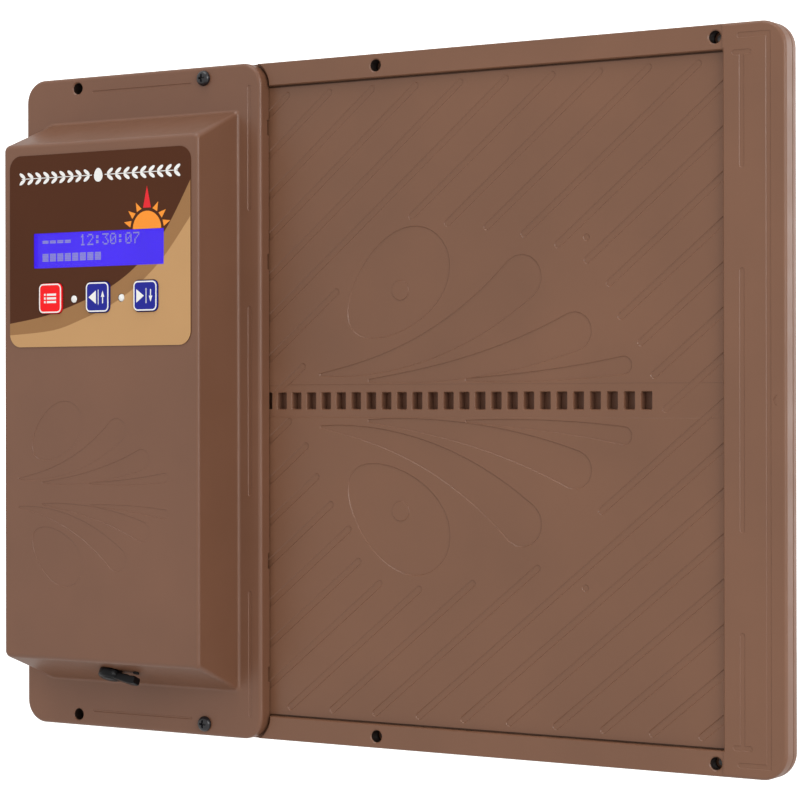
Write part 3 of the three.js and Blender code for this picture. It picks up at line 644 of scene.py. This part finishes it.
front_frame()
rear_frame()
for number, (x, z) in enumerate(FRAME_SCREWS, start=1):
    node = f"frame_screw_{number}"
    flat_head(f"screw_frame_{number}", x, z, black_steel, "black_steel", node, **FRAME_SCREW)

# ------------------------ sliding panel
GROOVE_SLOPE = math.tan(math.radians(39))
GROOVE_STEP, GROOVE_FIRST_X, GROOVE_TOP, GROOVE_SHORTEST = 19.5, -41.9, 118.0, 3.0
GROOVE_HALF, GROOVE_DEPTH, GROOVE_LEAN = 1.4, 0.26, 0.26
SLOT_EDGE = ((0.5, 11.9), (0.26, 12.33), (0.06, 12.6), (0, 12.9))  # (widening, y) from the front
GATE_MARKS = ((89.0, 58.7), (88.4, -67.5))
# where each diagonal groove stops below the ornament and starts again above it, by its number from the left
GROOVE_GAPS = {
    6: (41.6, 69.0),
    7: (13.2, 66.0),
    8: (-7.9, 64.0),
    9: (-17.3, 60.9),
    10: (-29.1, 56.5),
    11: (-39.6, 50.5),
    12: (-48.8, 42.0),
    13: (-61.0, 30.0),
    14: (-69.0, 20.6),
    15: (-70.5, 9.0),
    16: (-67.5, -3.1),
    17: (-61.0, -39.6),
}


def grooves():
    def x_at(number, z):
        return GROOVE_FIRST_X + GROOVE_STEP * number - (GROOVE_TOP - z) / GROOVE_SLOPE

    def z_at(number, x):
        return GROOVE_TOP - (GROOVE_FIRST_X + GROOVE_STEP * number - x) * GROOVE_SLOPE

    loops = []
    for number in range(-3, 26):
        bottom = max(-GROOVE_TOP, z_at(number, PANEL_LEFT + 4))
        top = min(GROOVE_TOP, z_at(number, PANEL_RIGHT - 3))
        spans = [(bottom, top)]
        if number in GROOVE_GAPS:
            stop, start = GROOVE_GAPS[number]
            spans = [(bottom, stop), (start, top)]
        for low, high in spans:
            if high - low > GROOVE_SHORTEST:
                loops.append(capsule((x_at(number, low), low), (x_at(number, high), high), GROOVE_HALF))
    return loops


def panel():
    def outline(inset):
        half = PANEL_HALF - inset
        return rounded(PANEL_LEFT + inset, PANEL_RIGHT - inset, -half, half, 1.2 - inset, 4)

    piece = make("sliding_panel", slab(outline, PANEL_FRONT, PANEL_BACK, 0.4, 0.4, 3), panel_brown)
    rib = []
    for inset, y in ((0, 14), (0, 16.7), (0.4, 17.1)):
        half = RIB_HALF - inset
        rib.append(at_y(rounded(RIB_LEFT + inset, RIB_RIGHT - inset, -half, half, 0.8, 3), y))
    add(piece, loft(rib))
    slot_band = rounded(PANEL_LEFT - 5, PANEL_RIGHT + 5, -SLOT_BAND_HALF, SLOT_BAND_HALF, 0.2, 2)
    cut(piece, flared(slot_band, PANEL_FRONT, 0.12, 0.15))
    edges = ((REBATE_INNER, REBATE_OUTER), (-REBATE_OUTER, -REBATE_INNER))
    rebates = [box(-BEYOND, BEYOND, 10, PANEL_FRONT + REBATE_DEPTH, low, high) for low, high in edges]
    cut(piece, merged(*rebates))
    cut(piece, merged(*(flared(loop, PANEL_FRONT, GROOVE_DEPTH, GROOVE_LEAN) for loop in grooves())))
    for recess in ornament(PANEL_FRONT, 0.3, 0.25):
        cut(piece, recess)
    dot = [(3.9, PANEL_FRONT + 0.5), (3.6, PANEL_FRONT + 0.05)]
    add(piece, merged(*(turned(dot, EGG_DOT[0], s * EGG_DOT[1]) for s in (1, -1))))
    gate = [(1.7, PANEL_FRONT - 0.3), (1.15, PANEL_FRONT + 0.25)]
    cut(piece, merged(*(turned(gate, x, z, 20) for x, z in GATE_MARKS)))
    mouths, pockets = [], []
    for k in range(SLOT_COUNT):
        x = SLOT_LAST_X - k * SLOT_PITCH
        rings = []
        for widen, y in SLOT_EDGE:
            half_w, half_h = SLOT_WIDTH / 2 + widen, SLOT_HEIGHT / 2 + widen
            rings.append(at_y(rounded_about(x, 0, half_w, half_h, 0.5, 3), y))
        mouths.append(loft(rings))
        half_w, half_h = SLOT_WIDTH / 2 - 0.02, SLOT_HEIGHT / 2 - 0.02
        pocket = rounded_about(x, 0, half_w, half_h, 0.48, 3)
        pockets.append(prism(pocket, PANEL_FRONT - 1, SLOT_FLOOR))
    cut(piece, merged(*mouths))
    # the pocket walls and floors take the darker painted shade material
    cut(piece, merged(*pockets), slot_painted_shade)
    return settle(piece, "door", ("door_panel",))


panel()


# ------------------------ control box
FOOT_FILLET = ((1.0, 1.0), (1.0, 0.0), (0.45, -0.35), (0.12, -0.8), (0.0, -1.4))  # (out, y from the flange)
DISPLAY_OPENING_HALF_W, DISPLAY_OPENING_HALF_H = 35.1, 9.45
FLANGE_MARK_X, FLANGE_MARK_Z = -55.6, 124.6
NOTCH_ZS = (106, 54, -62, -106)


def box_rings(steps=5):
    """The box from its foot to its face: a small foot fillet, leaning walls and a rounded front edge."""
    rings = [(out, FLANGE_FRONT + y) for out, y in FOOT_FILLET]
    for step in range(steps + 1):
        angle = math.pi / 2 * step / steps
        rings.append((-BOX_EDGE * (1 - math.cos(angle)), FACE_Y + BOX_EDGE * (1 - math.sin(angle))))
    made = []
    for out, y in rings:
        t = min(1.0, max(0.0, (FLANGE_FRONT - y) / (FLANGE_FRONT - FACE_Y)))
        left = BASE_LEFT + (FACE_LEFT - BASE_LEFT) * t - out
        right = BASE_RIGHT + (FACE_RIGHT - BASE_RIGHT) * t + out
        half = BASE_HALF + (FACE_HALF - BASE_HALF) * t + out
        right_corner, left_corner = (
            max(0.3, radius + min(out, 0) * 0.5) for radius in (1.6 + 0.6 * t, 8.0 - 6.0 * t)
        )
        radii = (right_corner, left_corner, left_corner, right_corner)
        made.append(at_y(rounded(left, right, -half, half, radii, 6), y))
    return made


def button_loop(x, widen):
    half_w, half_h = BUTTON_HALF_W + widen, BUTTON_HALF_H + widen
    return rounded_about(x, BUTTON_Z, half_w, half_h, BUTTON_CORNER + widen, 6)


# the power port's own frame, whose Z points out of the sloping bottom wall
PORT_X, PORT_Y, PORT_Z = -112.6, -8.0, -106.139
WALL_SIN, WALL_COS = 0.40042, 0.91633  # of the wall's lean
PORT_PLACE = Matrix(
    (
        (1, 0, 0, PORT_X),
        (0, -WALL_COS, -WALL_SIN, PORT_Y),
        (0, WALL_SIN, -WALL_COS, PORT_Z),
        (0, 0, 0, 1),
    )
)
PORT_BORE_R, PORT_HINGE_X = 4.4, 13.6
PORT_ANCHOR_X, PORT_ANCHOR_BORE_R = 12.4, 1.1


def at_port(body):
    vertices, faces = body
    return [tuple(PORT_PLACE @ Vector(v)) for v in vertices], faces


def lathe_z(profile, x=0.0, steps=32):
    """A body turned about a line along Z at x, from (radius, height) pairs."""
    return loft([[(px, py, height) for px, py in circle(x, 0, radius, steps)] for radius, height in profile])


def housing():
    def outline(inset, steps=12):
        half = HALF_HEIGHT - inset
        return rounded(FLANGE_LEFT + inset, FLANGE_RIGHT - inset, -half, half, FLANGE_CORNER - inset, steps)

    piece = make("control_housing", slab(outline, FLANGE_FRONT, FLANGE_BACK, 1.5, 0.3), housing_brown)
    cut(piece, prism(outline(WALL, 6), FLANGE_FRONT + WALL, 20))
    add(piece, loft(box_rings()))
    hollow = [
        (BASE_LEFT + WALL, BASE_RIGHT - WALL, BASE_HALF - WALL, FLANGE_FRONT + WALL + 0.5, 5.5),
        (FACE_LEFT + WALL, FACE_RIGHT - WALL, FACE_HALF - WALL, FACE_Y + WALL, 1.5),
    ]
    rings = []
    for left, right, half, y, corner in hollow:
        rings.append(at_y(rounded(left, right, -half, half, corner, 4), y))
    cut(piece, loft(rings))
    # bosses round the mounting holes, the flange screws and the cover screws
    root = FLANGE_FRONT + 1.5
    bosses = [turned([(4.2, root), (4.2, FLANGE_BACK)], HOLE_XS[0], s * HOLE_Z) for s in (1, -1)]
    bosses += [turned([(3.6, root), (3.6, FLANGE_BACK)], FLANGE_SCREW_X, s * FLANGE_SCREW_Z) for s in (1, -1)]
    bosses += [turned([(2.5, root), (2.5, 8.9)], x, z, 20) for x, z in COVER_SCREWS]
    for boss in bosses:
        add(piece, boss)
    cut(piece, merged(*(hole_lip(HOLE_XS[0], s * HOLE_Z, FLANGE_FRONT, HOLE_R) for s in (1, -1))))
    bores = [bore(HOLE_XS[0], s * HOLE_Z, HOLE_R) for s in (1, -1)]
    bores += [bore(FLANGE_SCREW_X, s * FLANGE_SCREW_Z, FLANGE_SCREW_BORE_R) for s in (1, -1)]
    # the bore walls take the near-black painted shade
    cut(piece, merged(*bores), bore_painted_shade)
    window = rounded_about(DISPLAY_X, DISPLAY_Z, DISPLAY_OPENING_HALF_W, DISPLAY_OPENING_HALF_H, 0.4, 2)
    face_openings = [window, *(button_loop(x, 0.3) for x in BUTTONS.values())]
    face_openings += [circle(x, INDICATOR_Z, INDICATOR_R + 0.2) for x in INDICATORS.values()]
    tools = [turned([(1.4, 6.9), (1.4, 20)], x, z, 20) for x, z in COVER_SCREWS]
    tools += [prism(loop, AHEAD, -12) for loop in face_openings]
    tools += [at_port(lathe_z([(PORT_BORE_R, -5), (PORT_BORE_R, 5)]))]
    cut(piece, merged(*tools))
    cut(piece, at_port(lathe_z([(PORT_ANCHOR_BORE_R, -5), (PORT_ANCHOR_BORE_R, 5)], PORT_ANCHOR_X, 20)))
    marks = [capsule((FLANGE_MARK_X, -36), (FLANGE_MARK_X, 36), 0.9)]
    marks += [capsule((FLANGE_MARK_X, 74.5 * s), (FLANGE_MARK_X, 121.5 * s), 0.9) for s in (1, -1)]
    marks += [capsule((-133, FLANGE_MARK_Z * s), (-84, FLANGE_MARK_Z * s), 0.45) for s in (1, -1)]
    cut(piece, merged(*(flared(loop, FLANGE_FRONT, 0.2, 0.2) for loop in marks)))
    for recess in ornament(FACE_Y, 0.16, 0.12, scale=0.56, dx=-137.0, dz=-36.5):
        cut(piece, recess)
    left, right, front = FLANGE_RIGHT - 1.4, FLANGE_RIGHT + 1, FLANGE_BACK - 1.2
    cut(piece, merged(*(box(left, right, front, 20, z - 3, z + 3) for z in NOTCH_ZS)))
    return settle(piece, "frame", ("housing",))


housing()
for sign, place in ((1, "top"), (-1, "bottom")):
    node = f"flange_screw_{place}"
    pan_head(f"screw_flange_{place}", FLANGE_SCREW_X, sign * FLANGE_SCREW_Z, FLANGE_FRONT, "frame", node)
for number, (x, z) in enumerate(COVER_SCREWS, start=1):
    flat_head(f"screw_cover_{number}", x, z, steel, "steel", f"cover_screw_{number}", **COVER_SCREW)


# ------------------------ label film and its printed layers
def label_openings():
    window = rounded_about(DISPLAY_X, DISPLAY_Z, DISPLAY_HALF_W, DISPLAY_HALF_H, 0.3, 2)
    loops = [window, *(button_loop(x, 0.3) for x in BUTTONS.values())]
    loops += [circle(x, INDICATOR_Z, INDICATOR_R + 0.1) for x in INDICATORS.values()]
    return merged(*(prism(loop, AHEAD, -10) for loop in loops))


def label_outline(inset):
    left, right = LABEL_LEFT + inset, LABEL_RIGHT - inset
    return rounded(left, right, LABEL_BOTTOM + inset, LABEL_TOP - inset, LABEL_CORNER - inset, 10)


def band(name, crest, front, material):
    """A printed layer that fills the label below a rising curve."""
    inset = 0.05
    left, right = LABEL_LEFT + inset, LABEL_RIGHT - inset
    lower = [p for p in label_outline(inset) if p[1] < LABEL_BOTTOM + LABEL_CORNER + 0.01]
    curve = through([(left, crest[0][1]), *crest[1:-1], (right, crest[-1][1])])
    left_side = [p for p in lower if p[0] < DISPLAY_X and p[1] < curve[0][1] - 0.2]
    right_side = [p for p in lower if p[0] >= DISPLAY_X and p[1] < curve[-1][1]]
    piece = make(name, prism(curve[::-1] + left_side + right_side, front, LABEL_FRONT + 0.05), material)
    cut(piece, label_openings())
    return settle(piece, "frame")


film = make("label_film", slab(label_outline, LABEL_FRONT, LABEL_BACK, 0.08, 0.02, 2), label_dark)
cut(film, label_openings())
settle(film, "frame", ("label_overlay",))
MID_CREST = [(LABEL_LEFT, 31.0), (-137.0, 34.0), (-118.4, 39.4), (-105.0, 44.5)]
MID_CREST += [(-91.8, 52.6), (-78.0, 65.7), (LABEL_RIGHT, 84.6)]
LIGHT_CREST = [(LABEL_LEFT, 26.4), (-133.7, 28.1), (-118.4, 32.4), (-105.0, 37.4)]
LIGHT_CREST += [(-91.8, 44.8), (-78.8, 55.5), (LABEL_RIGHT, 70.7)]
band("label_band_mid", MID_CREST, LABEL_FRONT - 0.03, label_mid)
band("label_band_light", LIGHT_CREST, LABEL_FRONT - 0.06, label_light)

PRINT_FRONT, PRINT_BACK = LABEL_FRONT - 0.05, LABEL_FRONT + 0.05


def printed(name, loops, material, front=PRINT_FRONT, back=PRINT_BACK, body="frame"):
    """One printed layer made of separate outlines."""
    piece = make(name, merged(*(prism(loop, front, back) for loop in loops)), material)
    return settle(piece, body)


def printed_egg(cx, cz, half_w, half_h, steps=24):
    loop = []
    for k in range(steps):
        angle = 2 * math.pi * k / steps
        x = cx + half_w * math.cos(angle) * (1 - 0.14 * math.sin(angle))
        loop.append((x, cz + half_h * math.sin(angle)))
    return loop


# heading ornament: a garland of leaf pairs on a thin stem, with an egg in the middle
HEADING_X, HEADING_Z, HEADING_REACH, STEM_START = -110.8, 88.5, 39.0, 1.6
LEAF_PAIRS, LEAF_FIRST, LEAF_PITCH = 9, 4.4, 4.1
BLADE_HALF_LENGTH, BLADE_HALF_WIDTH, BLADE_OUT, BLADE_UP = 1.75, 0.72, 0.82, 0.57


def blade(x, side, up, steps=16):
    """One leaf of a pair: an oval that leans outwards from the stem at x."""
    loop = []
    for step in range(steps):
        angle = 2 * math.pi * step / steps
        along = BLADE_HALF_LENGTH + BLADE_HALF_LENGTH * math.cos(angle)
        across = BLADE_HALF_WIDTH * math.sin(angle)
        rise = 0.25 + BLADE_UP * along - BLADE_OUT * across
        loop.append((x + side * (BLADE_OUT * along + BLADE_UP * across), HEADING_Z + up * rise))
    return loop


def garland():
    loops = [printed_egg(HEADING_X, HEADING_Z, 2.1, 2.7)]
    for side in (1, -1):
        middle = HEADING_X + side * (HEADING_REACH / 2 + STEM_START)
        loops.append(rectangle(middle, HEADING_Z, HEADING_REACH / 2 - STEM_START, 0.16))
        for k in range(LEAF_PAIRS):
            x = HEADING_X + side * (LEAF_FIRST + LEAF_PITCH * k)
            loops += [blade(x, side, up) for up in (1, -1)]
    return loops


printed("label_heading", garland(), print_white)

# rising sun over the display
SUN_X, SUN_Z, SUN_R = -86.8, DISPLAY_Z + DISPLAY_HALF_H + 0.05, 6.9
RAY_START, RAY_ANGLES = 8.1, (14, 38, 62, 118, 142, 166)


def half_disc(radius, steps=24):
    angles = [math.pi * k / steps for k in range(steps + 1)]
    return [(SUN_X + radius * math.cos(angle), SUN_Z + radius * math.sin(angle)) for angle in angles]


def ray(degrees, reach, half_width):
    c, s = math.cos(math.radians(degrees)), math.sin(math.radians(degrees))
    return [
        (SUN_X + RAY_START * c + half_width * s, SUN_Z + RAY_START * s - half_width * c),
        (SUN_X + reach * c, SUN_Z + reach * s),
        (SUN_X + RAY_START * c - half_width * s, SUN_Z + RAY_START * s + half_width * c),
    ]


printed("label_sun", [half_disc(SUN_R), *(ray(degrees, 11.6, 1.3) for degrees in RAY_ANGLES)], print_orange)
printed("label_sun_peak", [ray(90, 16.6, 1.9)], print_red)


# ------------------------ display
DOT_PITCH_X, DOT_PITCH_Z, DOT_W, DOT_H = 0.62, 0.64, 0.53, 0.55
CHARACTER_PITCH, TEXT_LEFT = 3.8, DISPLAY_X - 29.1
DISPLAY_LINES = ((DISPLAY_Z + 6.0, "---- 12:30:07"), (DISPLAY_Z - 0.5, "########"))
# five dots across in each of seven rows
CHARACTERS = {
    "0": (0x0E, 0x11, 0x13, 0x15, 0x19, 0x11, 0x0E),
    "1": (0x04, 0x0C, 0x04, 0x04, 0x04, 0x04, 0x0E),
    "2": (0x0E, 0x11, 0x01, 0x02, 0x04, 0x08, 0x1F),
    "3": (0x1F, 0x02, 0x04, 0x02, 0x01, 0x11, 0x0E),
    "7": (0x1F, 0x01, 0x02, 0x04, 0x08, 0x08, 0x08),
    ":": (0x00, 0x0C, 0x0C, 0x00, 0x0C, 0x0C, 0x00),
    "#": (0x00, 0x1F, 0x1F, 0x1F, 0x1F, 0x1F, 0x00),
    "-": (0x00, 0x00, 0x00, 0x1F, 0x1F, 0x00, 0x00),
}


def character_dots(char, left, top):
    dots = []
    for row, bits in enumerate(CHARACTERS.get(char, ())):
        for column in range(5):
            if bits & (0x10 >> column):
                x, z = left + column * DOT_PITCH_X, top - row * DOT_PITCH_Z
                dots.append([(x + DOT_W, z), (x, z), (x, z - DOT_H), (x + DOT_W, z - DOT_H)])
    return dots


def plate_in_place(name, node, corner, edge, material):
    """A rounded plate that fills a CAD node's box; gives the Y of its front."""
    low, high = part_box(node)
    x0, y0, z0 = (value / MM for value in low)
    x1, y1, z1 = (value / MM for value in high)

    def outline(inset):
        return rounded(x0 + inset, x1 - inset, z0 + inset, z1 - inset, corner, 3)

    settle(make(name, slab(outline, y0, y1, edge, edge, 2), material), "frame", (node,))
    return y0


def display():
    front = plate_in_place("display_panel", "display_glass", 0.6, 0.15, display_blue)
    dots = []
    for top, text in DISPLAY_LINES:
        for place, char in enumerate(text):
            dots += character_dots(char, TEXT_LEFT + place * CHARACTER_PITCH, top)
    printed("display_characters", dots, display_dots, front - 0.03, front + 0.05)


display()
plate_in_place("display_pane", "display_window", 0.5, 0.1, window_clear)

# ------------------------ buttons and indicator lenses
RING_OUT, RING_IN = -0.2, -0.72
SKIRT_HALF_W, SKIRT_HALF_H, SKIRT_CORNER, SKIRT_FRONT, SKIRT_BACK = 6.5, 6.6, 2.6, -15.2, -14.2
MENU_ROW_PITCH, MENU_BAR_HALF = 1.45, 0.42
LEG_HALF, LEG_OUT = 0.25, 0.9
# (radius, y) of an indicator lens, from its dome to the rim behind the housing's face
LENS_DOME = ((0.2, -18.38), (0.7, -18.33), (1.15, -18.18), (1.42, -17.95), (1.5, -17.6))
LENS_RIM = ((1.5, -14.0), (1.75, -13.95), (1.75, -13.5))


def ring_piece(name, x, body):
    """The white line printed round a button's edge."""
    piece = make(name, prism(button_loop(x, RING_OUT), BUTTON_FRONT, BUTTON_FRONT + 0.25), print_white)
    cut(piece, prism(button_loop(x, RING_IN), BUTTON_FRONT - 1, BUTTON_FRONT + 1))
    return settle(piece, body)


def arrow_sideways(x, sign):
    tip, back = x + sign * 2.0, x - sign * 1.7
    loop = [(tip, BUTTON_Z), (back, BUTTON_Z + 2.6), (back, BUTTON_Z - 2.6)]
    return loop if sign > 0 else loop[::-1]


def arrow_upright(x, sign):
    loop = [(x - 0.85, BUTTON_Z), (x + 0.85, BUTTON_Z), (x, BUTTON_Z + sign * 2.4)]
    return loop if sign > 0 else loop[::-1]


def symbol(name, x):
    if name == "menu":
        rows = [BUTTON_Z + MENU_ROW_PITCH, BUTTON_Z, BUTTON_Z - MENU_ROW_PITCH]
        bars = [rectangle(x + 0.75, z, 2.35, MENU_BAR_HALF) for z in rows]
        return bars + [rectangle(x - 2.65, z, 0.4, MENU_BAR_HALF) for z in rows]
    sign = -1 if name == "open" else 1
    arrow_x = x - 2.3 if name == "open" else x - 2.5
    loops = [arrow_sideways(arrow_x, sign), rectangle(x + 0.55, BUTTON_Z, 0.16, 2.9)]
    return loops + [arrow_upright(x + 2.75, -sign), rectangle(x + 2.75, BUTTON_Z + sign * 1.2, 0.22, 1.3)]


def button(name, x):
    def outline(inset):
        return button_loop(x, -inset)

    body = f"{name}_button"
    plastic, slot = (button_red, "button_red") if name == "menu" else (button_blue, "button_blue")
    cap = make(f"cap_{name}", slab(outline, BUTTON_FRONT + 0.04, -14.5, 0.35, 0.05, 4), plastic)
    skirt = rounded_about(x, BUTTON_Z, SKIRT_HALF_W, SKIRT_HALF_H, SKIRT_CORNER, 6)
    add(cap, prism(skirt, SKIRT_FRONT, SKIRT_BACK))
    settle(cap, body, (f"button_{name}",))
    ring_piece(f"cap_outline_{name}", x, body)
    lines = symbol(name, x)
    printed(f"cap_symbol_{name}", lines, print_white, BUTTON_FRONT, BUTTON_FRONT + 0.3, body)


def indicator(name, x):
    lens = make(f"lens_{name}", turned(LENS_DOME + LENS_RIM, x, INDICATOR_Z), white_plastic)
    for side in (1, -1):
        leg = rounded_about(x + side * LEG_OUT, INDICATOR_Z, LEG_HALF, LEG_HALF, 0.05, 1)
        add(lens, prism(leg, -13.8, -4.8), steel)
    settle(lens, "frame", (f"indicator_{name}",), crease=40)


for name, x in BUTTONS.items():
    button(name, x)
for name, x in INDICATORS.items():
    indicator(name, x)


# ------------------------ power port cap and its strap
def band_along(points, half_width):
    """A flat strap in the port's frame: (x, height, thickness) stations, rounded over its edges."""
    rings = []
    for x, height, thickness in points:
        section = rounded(-half_width, half_width, height, height + thickness, min(0.45, thickness * 0.45), 4)
        rings.append([(x, y, z) for y, z in section])
    return loft(rings)


def port_cap():
    profile = [(2.1, -1.8), (2.45, -1.6), (2.6, -1.2), (2.6, 0.3), (4.5, 0.3), (4.75, 0.5)]
    profile += [(4.8, 0.9), (4.8, 2.1), (4.65, 2.75), (4.25, 3.2), (3.5, 3.5), (3.2, 3.4)]
    profile += [(2.95, 3.4), (2.7, 3.7), (1.6, 3.95), (0.5, 4.0)]
    piece = make("port_plug", lathe_z(profile), rubber)
    stations = ((2.8, 1.1, 2.3), (5.0, 1.15, 2.7), (7.5, 1.3, 3.1), (9.4, 1.5, 3.3), (10.6, 1.9, 3.1))
    end = PORT_HINGE_X
    stations += ((12.4, 1.9, 3.2), (end - 0.5, 1.95, 3.1), (end - 0.15, 2.1, 2.7), (end, 2.4, 2.1))
    add(piece, band_along(stations, 2.0))
    return settle(piece, "port_flap", ("port_cap",), crease=40, place=PORT_PLACE)


def port_anchor():
    profile = [(0.85, -3.2), (0.85, 0.25), (1.2, 0.25), (1.3, 0.35), (1.3, 0.6), (1.15, 0.78), (0.4, 0.8)]
    piece = make("port_anchor", lathe_z(profile, PORT_ANCHOR_X, 28), rubber)
    return settle(piece, "frame", ("port_cap_anchor",), crease=40, place=PORT_PLACE)


port_cap()
port_anchor()

# ------------------------ finishes of the CAD parts that stay
KEPT_FINISHES = {
    "back_cover": housing_brown,
    "cover_gasket": rubber,
    "plunger_": black_plastic,
    "switch_": steel,
    "display_bezel": black_steel,
    "display_backlight": white_plastic,
    "display_board": circuit_board,
    "display_header": black_plastic,
    "main_board": circuit_board,
    "controller_chip": black_plastic,
    "driver_chip": black_plastic,
    "motor_connector": white_plastic,
    "power_connector": white_plastic,
    "clock_cell_holder": black_plastic,
    "clock_cell": steel,
    "board_screw": steel,
    "drive_shaft": steel,
    "pinion_set_screw": black_steel,
    "pinion": white_plastic,
    "shaft_bush": brass,
    "shaft_clip": black_steel,
    "gearbox": brass,
    "motor_can": steel,
    "motor_end_cap": black_plastic,
    "motor_bracket": white_plastic,
    "bracket_screw": steel,
    "power_socket": black_plastic,
    "power_pin": brass,
    "motor_lead": rubber,
    "power_lead": rubber,
}
for node_name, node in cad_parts.items():
    matches = [key for key in KEPT_FINISHES if node_name.startswith(key)]
    if not matches:
        continue
    finish = KEPT_FINISHES[max(matches, key=len)]
    for material_slot in node.material_slots:
        material_slot.link = "OBJECT"
        material_slot.material = finish
    edges = node.modifiers.new("edges", "BEVEL")
    edges.width = 0.18 * MM
    edges.segments = 2
    edges.limit_method = "ANGLE"
    edges.angle_limit = math.radians(40)
    edges.harden_normals = True

# ------------------------ floor, backdrop and light
world = bpy.data.worlds.new("studio")
bpy.context.scene.world = world
world.use_nodes = True
world.node_tree.nodes["Background"].inputs["Color"].default_value = (1.0, 0.99, 0.98, 1)
world.node_tree.nodes["Background"].inputs["Strength"].default_value = 0.82
bpy.context.scene.view_settings.view_transform = "Standard"

FLOOR_DROP, STAGE_REACH = 1.2, 12.0  # metres


def stage_material(name, strength):
    """A matt white that also glows a little, with a faint drift of tone."""
    material, tree, shader = new_material(name)
    drift = ramp(tree, noise(tree, 3, 2), 0, 1)
    tree.links.new(tint(tree, drift, (0.93, 0.93, 0.93), (0.95, 0.95, 0.95)), shader.inputs["Base Color"])
    shader.inputs["Emission Color"].default_value = (1, 1, 1, 1)
    shader.inputs["Emission Strength"].default_value = strength
    shader.inputs["Roughness"].default_value = 0.9
    return material


def stage_sheet(name, corners, material):
    """A flat sheet that only the camera sees, so that it puts no light on the object."""
    mesh = bpy.data.meshes.new(name)
    mesh.from_pydata(corners, [], [(0, 1, 2, 3)])
    mesh.materials.append(material)
    sheet = bpy.data.objects.new(name, mesh)
    bpy.context.scene.collection.objects.link(sheet)
    sheet.visible_diffuse = sheet.visible_glossy = sheet.visible_transmission = sheet.visible_shadow = False


floor_z = cad_low.z - FLOOR_DROP
near, far = -STAGE_REACH, STAGE_REACH
floor = [(near, near, floor_z), (far, near, floor_z), (far, far, floor_z), (near, far, floor_z)]
stage_sheet("floor", floor, stage_material("floor_white", 0.6))
wall_white = stage_material("wall_white", 1.0)
wall = [(near, far, floor_z), (far, far, floor_z), (far, far, far), (near, far, far)]
for name, turn in (("wall_back", 0), ("wall_left", 90), ("wall_front", 180), ("wall_right", 270)):
    turned_by = Matrix.Rotation(math.radians(turn), 4, "Z")
    stage_sheet(name, [tuple(turned_by @ Vector(point)) for point in wall], wall_white)


def soft_box(name, place, aim, size, power):
    """A square soft light at place, turned to aim."""
    data = bpy.data.lights.new(name, "AREA")
    data.shape = "SQUARE"
    data.size = size
    data.energy = power
    lamp = bpy.data.objects.new(name, data)
    bpy.context.scene.collection.objects.link(lamp)
    lamp.location = place
    lamp.rotation_mode = "QUATERNION"
    lamp.rotation_quaternion = (Vector(aim) - Vector(place)).to_track_quat("-Z", "Y")


soft_box("light_right", (1.8, -0.9, 0.5), (0, 0, 0), 1.0, 15)
soft_box("light_top", (-0.1, -0.7, 2.0), (0, 0, 0), 1.2, 12)
soft_box("light_right_rear", (0.95, 1.05, 0.25), (0.1, 0, 0), 0.9, 5)
